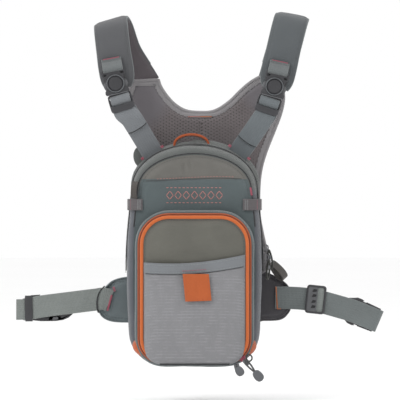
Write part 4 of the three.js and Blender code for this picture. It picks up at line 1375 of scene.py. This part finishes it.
def build_yoke():
    outline = yoke_outline()
    yoke = slab_piece("yoke_pad", outline, YOKE_LOW[1] + 2.2, YOKE_HIGH[1] - 2.2,
                      [YOKE_BAND, MESH_CLOTH], 1.2)
    inflated(yoke, voxel=3.2, pressure=3.5, cap=2.2)
    distance = sewn_channel(yoke, outline, 8, 1.6, 1.4, YOKE_Y)
    points = points_mm(yoke)
    wave = np.array([0.8 * ripple(*point, 38, 21.0) for point in points])
    lift = wave * np.clip(distance / 12, 0, 1)
    on_spine = (points[:, 2] < -96) * (distance > 10)
    spine = 1.3 * np.exp(-((points[:, 0] - 0.5) / 2.0) ** 2) * on_spine
    offset = points[:, 1] - YOKE_Y
    points[:, 1] += lift - np.sign(offset) * np.minimum(spine, np.abs(offset) * 0.6)
    move_points(yoke, points)
    centres = np.array([p.center for p in yoke.data.polygons])[:, [0, 2]] / MM
    inside = outline_distance(centres, outline) > 7.5
    for polygon, is_mesh in zip(yoke.data.polygons, inside):
        polygon.material_index = int(is_mesh)
    shade(yoke, 80)
    place(yoke, "root", "spacer_mesh", "back_yoke")
    build_yoke_trim(yoke, outline)


def build_yoke_trim(yoke, outline):
    normals = outline_normals(outline)
    sides = np.stack([normals[:, 0], np.zeros(len(outline)), normals[:, 1]], axis=1)
    rim = ring(outline - normals * 1.6, YOKE_Y)
    binding = sweep("yoke_binding", rim, round_section(2.0, 3.3, steps=12), sides,
                    YOKE_BAND, closed=True)
    place(binding, "root", "shell_nylon")
    surface = Surface(yoke)
    for front, label in ((True, "front"), (False, "back")):
        line = outline - normals * 8
        points = [surface.at(x, z, front, YOKE_Y) for x, z in line]
        rows = stitch_line(np.array(points + points[:1]), 2.6, 1.3)
        out = (0, -1 if front else 1, 0)
        sew("root", "spacer_mesh", f"yoke_stitches_{label}", rows, out, 0.45, THREAD_DARK)
    centre = surface.at(0.0, -88.2) + np.array([0, -0.3, 0])
    for low, high, material, label in ((-13, 0, THREAD_SALMON, "left"),
                                       (0, 12.5, THREAD_ORANGE, "right")):
        rows = tack(centre + np.array([low, 0, 0]), centre + np.array([high, 0, 0]),
                    FORWARD, 1.1, 0.6)
        sew("root", "spacer_mesh", f"yoke_tack_{label}", rows, FORWARD, 0.55, material)


# Paths and webbing in millimetres, leans and tilts in degrees; tail is a share of the webbing.
SHOULDERS = {
    "left": {
        "path": [(-89.8, -14, -57), (-91.5, -15.5, -42), (-95.5, -15.5, -14),
                 (-98, -10, 7.5), (-98, 3, 16), (-92.5, 16, 8), (-82.8, 25.3, -18.6),
                 (-63.9, 29.5, -49.4), (-61.3, 31, -53.6)],
        "lean": [8, 8, 8, 12, 17, 26, 34.3, 34.3, 34.3],
        "buckle": (-93, -51.7), "tilt": -13, "lower_tilt": -17, "end_lean": 31,
        "cloth": ADJUSTER_WEBBING, "skin": STRAP_CLOTH,
        "webbing": [(-81.4, -24.6, -81.6), (-75.7, -24.2, -90.2),
                    (-64.3, -18.5, -108.4), (-50.5, -9.6, -131.8)],
        "tail": 0.40,
    },
    "right": {
        "path": [(82.8, -14, -58), (87, -15.5, -36), (94, -15, -6), (99.5, -9, 16),
                 (102, 3, 21.5), (99.5, 16, 12.5), (92.2, 25.4, -15.1), (82.2, 26.5, -49.7)],
        "lean": [-13, -13, -13, -10.5, -10, -12, -16.05, -16.05],
        "buckle": (82, -55), "tilt": 15, "lower_tilt": 18.5, "end_lean": -34,
        # The right side's cloth and skin are copies of the left side's, painted for the shade on
        # that side.
        "cloth": ADJUSTER_PAINTED_SHADE, "skin": STRAP_PAINTED_SHADE,
        "webbing": [(73.2, -24.6, -84.4), (67.2, -24.2, -93.4),
                    (56.4, -19.0, -109.2), (41.0, -9.6, -131.0)],
        "tail": 0.68,
    },
}
BUCKLE_Y = -24.6
BOSS_Z = -0.8


def pad_section(width, thick):
    """A padded strap: crowned faces and flat sewn edges."""
    half = width / 2
    shape = [(0, 1.0), (0.4, 0.98), (0.68, 0.9), (0.82, 0.74), (0.88, 0.56),
             (0.94, 0.5), (1.0, 0.36)]
    right = [(half * x, thick / 2 * z) for x, z in shape]
    upper = [(-x, z) for x, z in reversed(right[1:])] + right
    return upper + [(x, -z) for x, z in reversed(upper)]


def build_strap(name, shoulder):
    path = resample(catmull(shoulder["path"], 12), STRAP_STEPS)
    sides = lean_sides(shoulder["lean"], STRAP_STEPS)
    along = run_lengths(path)
    for k, point in enumerate(path):
        point += np.array([0.0, 0.3, 0.25]) * math.sin(along[k] / 7.5)
    rounded_end = np.clip((along + 2.0) / 17, 0, 1)
    width = np.sqrt(1
                    - (1 - rounded_end) ** 2) * 0.5 + 0.5 + 0.03 * np.exp(-((along - 24) / 12) ** 2)
    tangent = tangents(path)
    side = squared(sides, tangent)
    out = np.cross(tangent, side)
    section = pad_section(36.4, 8)
    rings = []
    for k, point in enumerate(path):
        crease = 0.45 * ripple(*point, 12, 31.0)
        near_end = np.clip((along[k] - along[-1] + 9) / 9, 0, 1)
        thick = (1 + 0.1 * ripple(*point, 20, 33.0)) * (1 - 0.35 * near_end)
        rings.append([point + side[k] * a * width[k] + out[k] * (b * thick + crease * (abs(a) < 12))
                      for a, b in section])
    strap = loft(f"strap_{name}_pad", rings, [shoulder["skin"], STRAP_LINING], smooth_angle=60)
    count = len(section)
    for index in range((len(path) - 1) * count):
        i = index % count
        inward = section[i][1] + section[(i + 1) % count][1] > 0
        strap.data.polygons[index].material_index = int(inward and abs(section[i][0]) < 17)
    place(strap, "root", "shell_nylon", f"shoulder_strap_{name}")
    for edge, label in ((-1, "inner"), (1, "outer")):
        rim = path + side * (edge * 18.0 * width)[:, None]
        bind = sweep(f"strap_{name}_binding_{label}", rim[:-HIDDEN_STEPS],
                     round_section(0.9, 1.5, steps=10), side[:-HIDDEN_STEPS], BINDING)
        place(bind, "root", "shell_nylon")
    rows, normals = [], []
    for edge in (-1, 1):
        line = path + side * (edge * 15.4 * width)[:, None]
        for face in (-1, 1):
            surface_line = line + out * face * 2.6
            for index in range(1, STRAP_STEPS - HIDDEN_STEPS):
                rows.append((surface_line[index],
                             surface_line[index] * 0.3 + surface_line[index + 1] * 0.7))
                normals.append(out[index] * face)
    sew("root", "shell_nylon", f"strap_{name}_stitches", rows, np.array(normals), 0.45, THREAD_DARK)


def build_buckle(name, shoulder):
    origin = (shoulder["buckle"][0], BUCKLE_Y, shoulder["buckle"][1])
    tilt = shoulder["tilt"]
    lower_tilt = shoulder["lower_tilt"]
    shell = mirrored([(8.5, 16.2), (12.2, 15.6), (13.3, 12.0), (12.6, 9.0), (10.8, 7.0),
                      (10.2, -5.4), (12.9, -7.6), (13.3, -10.6), (12.2, -12.4), (8.5, -12.8)])
    slot = [(-10.9, 12.6), (-10.9, 14.6), (10.9, 14.6), (10.9, 12.6)]
    pit = [(-11.6, 8.9), (-11.4, 11.2), (-7.4, 11.2), (-8.6, 8.9)]
    pits = [pit, [(-x, z) for x, z in pit[::-1]]]
    floor_outline = rounded(12.0, -12.4, 16.2, 2.5)
    top = plate("part", shell, -4.2, -1.7, PLASTIC, origin, tilt, [slot, *pits], 0.55)
    floor = plate("part", floor_outline, 1.7, 4.0, PLASTIC, origin, tilt, [slot], 0.5)
    # Painted shade: a darker plate inside the buckle, seen through its slot and pits.
    cavity_shade = plate("part", rounded(11.4, -4.6, 11.8, 1.5), 1.65, 2.2, COIL_DARK, origin,
                 tilt, bevel=0.3)
    turns = np.linspace(0, 2 * math.pi, 56, endpoint=False)
    profile = [(-3.6, 10.5), (-4.8, 10.4), (-5.5, 9.9), (-5.7, 9.2), (-5.4, 8.5),
               (-4.5, 8.1), (-4.3, 7.8), (-4.6, 7.4), (-4.8, 6.8), (-4.8, 0.3)]
    boss = [oriented([(r * math.cos(t), y, r * math.sin(t) + BOSS_Z) for t in turns], origin, tilt)
            for y, r in profile]
    button = loft("part", boss, PLASTIC, smooth_angle=40)
    # A paler ring round the button: painted highlight on its rim.
    highlight_hoop = [(9.4 * math.cos(t), -5.7, 9.4 * math.sin(t) + BOSS_Z) for t in turns]
    highlight_hoop = oriented(highlight_hoop, origin, tilt)
    highlight_hoop = sweep("part", highlight_hoop, round_section(0.6, 0.45, steps=8), (0, 1, 0), BOSS_RIM_PAINTED_HIGHLIGHT, closed=True)
    rib = plate("part", oblong(-11.6, -12.55, 11.6, -11.45), -4.9, -3.9, PLASTIC_LIGHT, origin,
                tilt, bevel=0.3)
    place(joined(f"buckle_female_{name}", [top, floor, cavity_shade, button, highlight_hoop, rib]), "root",
          "black_plastic", f"strap_buckle_female_{name}")
    frame_outline = [(-9.4, -11.4), (9.4, -11.4), (12.8, -13), (13.4, -18), (13.4, -29),
                     (12.4, -31.6), (-12.4, -31.6), (-13.4, -29), (-13.4, -18), (-12.8, -13)]
    gaps = [oblong(-11.4, -17.4, 11.4, -14.8), oblong(-11.4, -26, 11.4, -21.4)]
    base = plate("part", frame_outline, -2.9, 2.9, PLASTIC, origin, lower_tilt, gaps, 0.7)
    foot_outline = [(-13.2, -23.6), (-12.8, -30.4), (-9, -32), (9, -32), (12.8, -30.4),
                    (13.2, -23.6), (9, -24.6), (-9, -24.6)]
    foot = plate("part", foot_outline, -5.0, -2.4, PLASTIC, origin, lower_tilt, bevel=0.8)
    bar = sweep("part", oriented([(x, -2.2, -19.2) for x in np.linspace(-11.6, 11.6, 5)], origin,
                                 lower_tilt), round_section(1.5, 1.9, steps=10), (0, 1, 0), PLASTIC)
    tongue = plate("part", [(-4, -13.2), (4, -13.2), (3.6, 1.5), (-3.6, 1.5)], -1.4, 1.4, PLASTIC,
                   origin, tilt, bevel=0.4)
    place(joined(f"buckle_male_{name}", [base, foot, bar, tongue]), "root", "black_plastic",
          f"strap_buckle_male_{name}")
    for side, label in ((1, "inner" if name == "left" else "outer"),
                        (-1, "outer" if name == "left" else "inner")):
        outline = [(6.9, -12.2), (8.8, -12.2), (9.6, -6.6), (12.6, -5.4), (13.4, -2.4), (12.8, 1.0),
                   (10.8, 2.6), (8.4, 3.0), (6.9, -5)]
        outline = [(side * x, z) for x, z in outline][::side]
        prong = plate(f"prong_{name}_{label}", outline, -1.6, 1.6, PLASTIC_LIGHT, origin,
                      tilt, bevel=0.5)
        place(prong, f"strap_prong_{name}_{label}", "black_plastic", f"strap_prong_{name}_{label}")


def build_anchor(name, shoulder):
    """The doubled webbing that holds a buckle's socket half on the strap."""
    origin = (shoulder["buckle"][0], BUCKLE_Y, shoulder["buckle"][1])
    tilt = shoulder["tilt"]
    route = [(0, 3.6, 28), (0, 3.2, 23), (0, 2.6, 18), (0, 0.5, 13.5), (0, -3.4, 13.1),
             (0, -5.6, 15.2), (0, -5.0, 18.2), (0, -1.6, 21.6), (0, 1.6, 24.2), (0, 1.9, 27.4)]
    path = oriented(catmull(route, 6), origin, tilt)
    lift = np.clip((path[:, 2] - origin[2]) / 28, 0, 1)
    path[:, 0] += (1.4 if tilt < 0 else -1.0) * lift
    turn = math.radians(tilt * 0.82)
    side = (math.cos(turn), 0, -math.sin(turn))
    loop = sweep(f"strap_anchor_{name}_webbing", path, flat_section(22.0, 1.5),
                 side, ANCHOR_WEBBING)
    place(loop, "root", "webbing", f"strap_anchor_{name}")
    centre = path[-1] + np.array([0, -0.9, 0.3])
    across = np.array(side)
    rows = tack(centre - across * 8.6, centre + across * 8.6, FORWARD, 1.0, 0.7)
    sew("root", "webbing", f"strap_anchor_{name}_tack", rows, FORWARD, 0.6, THREAD_PINK)


def build_adjuster(name, shoulder):
    """The webbing from the pack up to the plug half, and its loose tail folded over the front."""
    origin = (shoulder["buckle"][0], BUCKLE_Y, shoulder["buckle"][1])
    tilt, end_lean = shoulder["lower_tilt"], shoulder["end_lean"]
    main = np.vstack([oriented([(0, 1.4, -19.0), (0, 0.9, -26)], origin, tilt),
                      shoulder["webbing"]])
    path = resample(catmull(main, 12), 60)
    lean = [-tilt, -tilt, end_lean, end_lean, end_lean]
    strap = sweep(f"adjuster_{name}_webbing", path, flat_section(WEBBING_WIDE, 1.5),
                  lean_sides(lean, 60), shoulder["cloth"])
    place(strap, "root", "webbing", f"adjuster_{name}")
    whole = resample(catmull(shoulder["webbing"], 16), 100)
    end = whole[round(99 * shoulder["tail"])]
    middle = whole[round(99 * shoulder["tail"] * 0.45)]
    roll = [(0, 1.4, -18.4), (0, -1.2, -14.8), (0, -4.6, -15.0), (0, -6.2, -18.2),
            (0, -5.6, -21.6), (0, -3.0, -23.6), (0, -1.6, -27), (0, -2.6, -33)]
    roll = oriented(roll, origin, tilt)
    lift = np.array([0, -2.4, 0])
    path = resample(catmull(np.vstack([roll, middle + lift, end + lift * 1.15]), 12), 90)
    along = np.linspace(0, 1, len(path))
    scale = 0.93 + 0.07 * np.clip((along - 0.45) / 0.1, 0, 1)
    lean = [-tilt] * 6 + [(-tilt + end_lean) / 2, end_lean, end_lean]
    piece = sweep(f"adjuster_tail_{name}_webbing", path, flat_section(WEBBING_WIDE, 1.5),
                  lean_sides(lean, len(path)), shoulder["cloth"], scale=scale)
    place(piece, "root", "webbing", f"adjuster_tail_{name}")
    direction = path[-1] - path[-3]
    direction /= np.linalg.norm(direction)
    turn = math.radians(end_lean)
    across = np.array([math.cos(turn), 0, math.sin(turn)])
    edge = [path[-1] + across * t + direction * (0.6 - 0.012 * t * t) - np.array([0, 0.2, 0])
            for t in np.linspace(-11.6, 11.6, 13)]
    lip = sweep(f"adjuster_tail_{name}_hem", edge, round_section(0.75, 0.8, steps=8),
                (0, 1, 0.01), TAPE_DARK)
    place(lip, "root", "dark_cord")
    foot = whole[-8] + np.array([0, -1.2, 0])
    rows = []
    for share in (-1, 1):
        corner = foot + across * share * 12.6
        rows += tack(corner - across * 1.3, corner + across * 1.3, FORWARD, 3.0)
    sew("root", "webbing", f"adjuster_{name}_tacks", rows, FORWARD, 0.7, THREAD_PINK)


# ---- waist belt ------------------------------------------------------------------------------
def wing_outline(side):
    left = [(-66, -266.5), (-80, -266.4), (-90, -268), (-98, -271.2), (-104, -276.6),
            (-109.5, -283), (-112.8, -291), (-113, -300), (-110.6, -307.5), (-105.5, -312.4),
            (-98, -315.2), (-88, -316.2), (-76, -316.2), (-66, -316)]
    right = [(56, -260), (66, -259.6), (73, -261), (83, -265.4), (91, -270), (97.8, -276.4),
             (100.6, -284), (100.7, -294), (100.2, -302), (96.8, -307.6), (92.2, -311.9),
             (85, -314), (70, -314.4), (56, -314)]
    loop = smooth_loop(left if side < 0 else right, 6, 90)
    area = np.sum(loop[:, 0] * np.roll(loop[:, 1], -1) - np.roll(loop[:, 0], -1) * loop[:, 1])
    return loop if area > 0 else loop[::-1]


def build_wing(side, name):
    low, high = box_mm(f"wing_{name}")
    outline = wing_outline(side)
    # The right wing and its binding take the painted-shade copy of the wing cloth.
    cloth = WING_CLOTH if side < 0 else WING_PAINTED_SHADE
    pad = slab_piece(f"wing_{name}_pad", outline, low[1] + 2.0, high[1] - 2.0, [cloth], 1.2)
    inflated(pad, voxel=3.0, pressure=4.0, cap=2.4)
    sewn_channel(pad, outline, 4.5, 1.0, 1.2, YOKE_Y)
    place(pad, "root", "shell_nylon", f"wing_{name}")
    surface = Surface(pad)
    normals = outline_normals(outline)
    line = open_run(outline - normals * 4.6, lambda x, z: abs(x - PACK_X) > 78)
    rows = surface.stitches(line, 2.4, 1.1, low[1])
    sew("root", "shell_nylon", f"wing_{name}_stitches", rows, FORWARD, 0.45, THREAD_DARK)
    rim = sweep(f"wing_{name}_binding", ring(outline - normals * 0.5, YOKE_Y),
                round_section(1.1, 2.4, steps=10),
                np.stack([normals[:, 0], 0 * normals[:, 0], normals[:, 1]], axis=1),
                cloth, closed=True)
    place(rim, "root", "shell_nylon")


def build_left_belt():
    y = BELT_Y - 0.6
    points = [(-100.2, y + 0.2, -292.4), (-104.5, y, -290.7), (-109.5, y - 0.2, -290.2),
              (-114.5, BELT_Y, -291), (-126, BELT_Y, -292.4), (-145, BELT_Y, -294.8),
              (-165, BELT_Y, -297.3), (-178, BELT_Y - 0.3, -299.1), (-186, BELT_Y - 0.6, -300.7),
              (-193, BELT_Y, -301.9), (-203.4, BELT_Y - 0.3, -302.2)]
    path = resample(catmull(points, 10), 100)
    fold = np.clip((-195.5 - path[:, 0]) / 1.5, 0, 1)
    belt = sweep("belt_left_webbing", path, flat_section(24.6, WEBBING_THICK),
                 lean_sides([73, 97, 97, 97, 97, 96, 92, 90], 100), WEBBING, scale=1 - 0.07 * fold)
    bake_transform(belt)
    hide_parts("wing_tab_left", "belt_left")
    ribs = [(8.0 * u, 1.1 + 0.75 * abs(math.sin(u * math.pi * 4)) ** 0.7)
            for u in np.linspace(0, 1, 33)]
    section = [(8.2, 0.2), (0, 0.2), *ribs]
    hem_path = [(-195.6, BELT_Y - 0.2, z) for z in np.linspace(-290.9, -313.5, 12)]
    hem = sweep("belt_left_hem", hem_path, section, (-1, 0, 0), WEBBING)
    place(hem, "belt_left", "webbing")
    front = y - 1.2
    rows = tack((-97.9, front, -286.4), (-102.5, front, -303), FORWARD, 2.1, 0.7)
    rows += tack((-95.7, front - 0.3, -277.3), (-94.5, front - 0.3, -281.6), FORWARD, 2.4, 0.7)
    sew("root", "webbing", "wing_left_tacks", rows, FORWARD, 0.7, THREAD_PINK)
    # Painted shadow: a dark cord along the wing's tip, where its edge shades the webbing.
    edge = catmull([(-105.8, y + 0.3, -276.2), (-109.9, y - 1.2, -280.6), (-112.9, y - 1.4, -286.4),
                    (-114.3, y - 1.4, -293.5), (-113.9, y - 1.2, -301.4),
                    (-112.2, y - 0.2, -305.4)], 8)
    swell = 0.8 + 0.5 * np.linspace(0, 1, len(edge)) ** 4
    lip = sweep("wing_left_painted_shadow", edge, round_section(0.95, steps=8), (0, 1, 0),
                TAPE_DARK, scale=swell)
    place(lip, "root", "dark_cord")


def build_right_belt():
    y = BELT_Y - 0.5
    points = [(83.4, y, -288.9), (92, y, -289.0), (101.5, BELT_Y, -289.3), (114, BELT_Y, -290.1),
              (127, BELT_Y, -292), (140, BELT_Y, -295.1), (154, BELT_Y, -299),
              (168, BELT_Y, -303.2), (182, BELT_Y, -308.6), (194.2, BELT_Y, -313.7),
              (197.2, BELT_Y + 1.2, -315.0), (198.4, BELT_Y + 4, -315.5),
              (197.2, BELT_Y + 6.8, -315.0), (194.2, BELT_Y + 8, -313.7)]
    path = catmull(points, 8)
    lean = [92, 90, 88, 85, 79, 75, 73.5, 70, 67.1, 67.1, 67.1, 67.1, 67.1, 67.1]
    # The right belt takes the painted-shade copy of the grey webbing.
    belt = sweep("belt_right_webbing", path, flat_section(25, WEBBING_THICK),
                 lean_sides(lean, len(path)), TEAL_WEBBING_PAINTED_SHADE)
    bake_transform(belt)
    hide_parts("wing_tab_right", "belt_right")
    front = y - 1.0
    rows = tack((84.2, front, -277.2), (85.8, front, -301.4), FORWARD, 1.3, 0.6)
    rows += tack((86.0, front, -301.3), (89.4, front, -301.3), FORWARD, 1.2, 0.6)
    sew("root", "webbing", "wing_right_tacks", rows, FORWARD, 0.6, THREAD_ORANGE)


def build_belt_socket():
    y = BELT_Y
    centre = (-189.9, y, -301.0)
    ring_outline = rounded(4.3, -14.2, 14.2, 2.6)
    front = plate("part", ring_outline, -3.3, -1.7, PLASTIC, centre, -1, bevel=0.6)
    back = plate("part", ring_outline, 1.5, 3.3, PLASTIC, centre, -1, bevel=0.5)
    ends = [plate("part", oblong(-4, z - 0.7, 4, z + 0.7), -2.4, 2.4, PLASTIC, centre, -1,
                  bevel=0.3) for z in (-13.6, 13.6)]
    arm = plate("part", [(-188, -288.4), (-178, -286.9), (-177, -285.6), (-188, -286.4)], y + 0.8,
                y + 3.2, PLASTIC, bevel=0.4)
    outline = [(-188, -314.2), (-176, -315.2), (-160, -315.0), (-152, -313.9), (-146, -311.4),
               (-141.6, -307.6), (-139.6, -303), (-139.4, -290), (-142, -286), (-150, -285.6),
               (-166, -287), (-188, -290)]
    window = [[(-168, -313.8), (-154, -312.6), (-155, -308.4), (-167, -309.6)]]
    shells = [plate("part", outline, y + a, y + b, PLASTIC, bevel=0.8, holes=window if a < 5
                    else ()) for a, b in ((2.2, 4.6), (7.6, 10.0))]
    walls = [plate("part", [(-187, z), (-171, z + 2), (-171, z + 4), (-187, z + 2)], y + 3, y + 9,
                   PLASTIC, bevel=0.4) for z in (-313.6, -291.5)]
    catch = plate("part", [(-164, -313.6), (-157, -313.2), (-158, -309.8), (-163, -310.2)], y + 2.4,
                  y + 7.8, PLASTIC_LIGHT, bevel=0.5)
    socket = joined("belt_socket", [front, back, *ends, arm, *shells, *walls, catch])
    place(socket, "belt_buckle_female", "black_plastic", "belt_buckle_female")


def build_belt_plug():
    origin, tilt = (194.2, BELT_Y + 4, -313.7), 22.9
    bar = sweep("part", oriented([(0, 0, z) for z in np.linspace(-13.8, 13.8, 7)], origin, tilt),
                round_section(1.4, steps=10), (0, 1, 0), PLASTIC)
    arm_outlines = ([(-16, 11.9), (1.4, 12.1), (1.8, 13.4), (-2.5, 13.9), (-16, 14.5)],
                    [(-16, -14.3), (-2.5, -13.9), (1.8, -13.3), (1.4, -12.0), (-16, -11.9)])
    arms = [plate("part", outline, -1.8, 2.2, PLASTIC, origin, tilt, bevel=0.4)
            for outline in arm_outlines]
    base_outline = [(-22.6, -11), (-21.4, -13.6), (-10, -13.8), (-8.9, -12), (-8.9, 12),
                    (-10, 13.8), (-21.4, 13.6), (-22.6, 11)]
    base = plate("part", base_outline, -1.8, 5.6, PLASTIC, origin, tilt, bevel=1.0)
    ridge = plate("part", rounded(4, -9, 9, 3), 5.2, 6.4, PLASTIC_LIGHT,
                  oriented([(-15.8, 0, 0)], origin, tilt)[0], tilt, bevel=0.4)
    tongue = plate("part", [(-38, -3), (-20, -3.6), (-20, 3.6), (-38, 3)], 0.4, 3.4, PLASTIC,
                   origin, tilt, bevel=0.6)
    place(joined("belt_plug", [bar, *arms, base, ridge, tongue]), "belt_buckle_male",
          "black_plastic", "belt_buckle_male")
    for side, label in ((1, "upper"), (-1, "lower")):
        outline = [(-21.2, 9.8), (-21.2, 12.6), (-18.6, 14.8), (-22, 15.6), (-27, 15.4),
                   (-30.4, 13.6), (-35.4, 11.6), (-37.8, 10.2), (-31, 9.4)]
        outline = [(x, side * z) for x, z in outline][::side]
        prong = plate(f"belt_prong_{label}_arm", outline, 0.2, 3.6, PLASTIC, origin,
                      tilt, bevel=0.6)
        place(prong, f"belt_prong_{label}", "black_plastic", f"belt_prong_{label}")


def build_triglide():
    origin, tilt = (128.3, BELT_Y, -291.0), 6
    outer = rounded(10.9, -15.8, 15.8, 3.4)
    opening = rounded(8.6, -13.0, 13.0, 1.8)
    rim = plate("part", outer, -3.5, 2.6, PLASTIC, origin, tilt, [opening], 0.8)
    notches = [[(-4.8, z - 1.5), (-0.4, z - 1.1), (0.4, z + 1.3), (-3.2, z + 1.9)]
               for z in (-8.3, -2.5, 4.0, 9.6)]
    middle = plate("part", oblong(-9.0, -14.4, 1.4, 14.4), -3.3, -1.8, PLASTIC_LIGHT, origin,
                   tilt, notches, 0.35)
    # Painted shade: a dark plate behind the middle bar makes its notches look black.
    notch_shade = plate("part", oblong(-6.5, -13, 1.0, 13), -1.7, -1.0, COIL_DARK, origin,
                    tilt, bevel=0.2)
    behind = plate("part", oblong(-9.6, -14.5, -3, 14.5), 1.4, 2.6, PLASTIC, origin,
                   tilt, bevel=0.4)
    place(joined("belt_triglide_frame", [rim, middle, notch_shade, behind]), "belt_triglide",
          "black_plastic", "belt_triglide")
    roll = [(x, -1.5 - 1.3 * math.sin(math.pi * (x - 0.8) / 8.2), 0)
            for x in np.linspace(0.9, 8.9, 13)]
    turn = math.radians(90 - tilt)
    fold = sweep("belt_triglide_fold", oriented(roll, origin, tilt), flat_section(27.0, 1.2),
                 (math.cos(turn), 0, math.sin(turn)), WEBBING)
    place(fold, "belt_triglide", "webbing")


def build_side_loop():
    centre = np.array([86.3, 15.5, -258.9])
    along = np.array([0.65, 0.02, -0.76])
    side = np.array([-0.52, -0.7, -0.46])
    across = np.cross(side, along)
    turns = np.linspace(0, 2 * math.pi, 60, endpoint=False)
    path = np.array([centre + along * (11.2 * math.cos(t))
                     + across * (3.4 * math.sin(t) * (1 + 0.35 * math.cos(t))) for t in turns])
    loop = sweep("side_loop_webbing", path, flat_section(10.5, 1.5), side,
                 DARK_WEBBING, closed=True)
    place(loop, "root", "webbing", "side_loop")


# ---- scene -----------------------------------------------------------------------------------
def build_stage():
    floor_z = -402 * MM
    mesh = bpy.data.meshes.new("floor")
    size = 8.0
    mesh.from_pydata([(-size, -size, floor_z), (size, -size, floor_z), (size, size, floor_z),
                      (-size, size, floor_z)], [], [(0, 1, 2, 3)])
    floor = bpy.data.objects.new("floor", mesh)
    graph = Graph("floor_pale")
    vector = graph.add("TexCoord").outputs["Object"]
    tone = graph.mix(graph.noise(vector, 3.0, 2), [0.96, 0.96, 0.96, 1], [0.98, 0.98, 0.98, 1])
    mesh.materials.append(graph.finish(tone, graph.noise(vector, 400, 2), 0.02, Roughness=0.9))
    bpy.context.scene.collection.objects.link(floor)
    world = bpy.data.worlds.new("studio")
    world.use_nodes = True
    background = world.node_tree.nodes["Background"]
    background.inputs["Color"].default_value = (1, 1, 1, 1)
    background.inputs["Strength"].default_value = 1.0
    bpy.context.scene.world = world


def add_light(name, place_at, target, size, power):
    data = bpy.data.lights.new(name, "AREA")
    data.size = size
    data.energy = power
    lamp = bpy.data.objects.new(name, data)
    lamp.location = place_at
    lamp.rotation_euler = (Vector(target) - Vector(place_at)).to_track_quat("-Z", "Y").to_euler()
    bpy.context.scene.collection.objects.link(lamp)


def build_camera():
    target = Vector((0.0, -0.02, -0.1804))
    distance, elevation, view_width, sensor = 5.0, math.radians(0.4), 0.440, 36
    camera_data = bpy.data.cameras.new("camera")
    camera_data.sensor_width = sensor
    camera_data.lens = sensor * distance / view_width
    camera_data.clip_end = 50
    camera = bpy.data.objects.new("camera", camera_data)
    camera.location = target + Vector((0, -math.cos(elevation), math.sin(elevation))) * distance
    camera.rotation_euler = (target - camera.location).to_track_quat("-Z", "Y").to_euler()
    bpy.context.scene.collection.objects.link(camera)
    bpy.context.scene.camera = camera


def build_lights():
    middle = (0, 0, -0.2)
    add_light("key", (-1.3, -1.5, 1.2), middle, 0.9, 17)
    add_light("fill", (1.3, -1.5, 0.2), middle, 1.6, 4)
    add_light("top", (-0.3, -0.3, 1.6), middle, 1.0, 6)


build_stage()
build_camera()
build_lights()
build_back_panel()
build_rear_shell()
lid_cover = build_lid()
build_lid_trim(lid_cover)
build_main_zipper()
build_gusset()
build_pocket_zipper()
build_front_panel()
build_pouch()
build_pull_tab()
build_tool_tabs()
build_haul_loop()
build_main_sliders()
build_pocket_sliders()
build_ear()
build_yoke()
for side_name, side_values in SHOULDERS.items():
    build_strap(side_name, side_values)
    build_anchor(side_name, side_values)
    build_buckle(side_name, side_values)
    build_adjuster(side_name, side_values)
build_wing(-1, "left")
build_wing(1, "right")
build_left_belt()
build_right_belt()
build_belt_socket()
build_belt_plug()
build_triglide()
build_side_loop()

bpy.context.scene.view_settings.view_transform = "Standard"
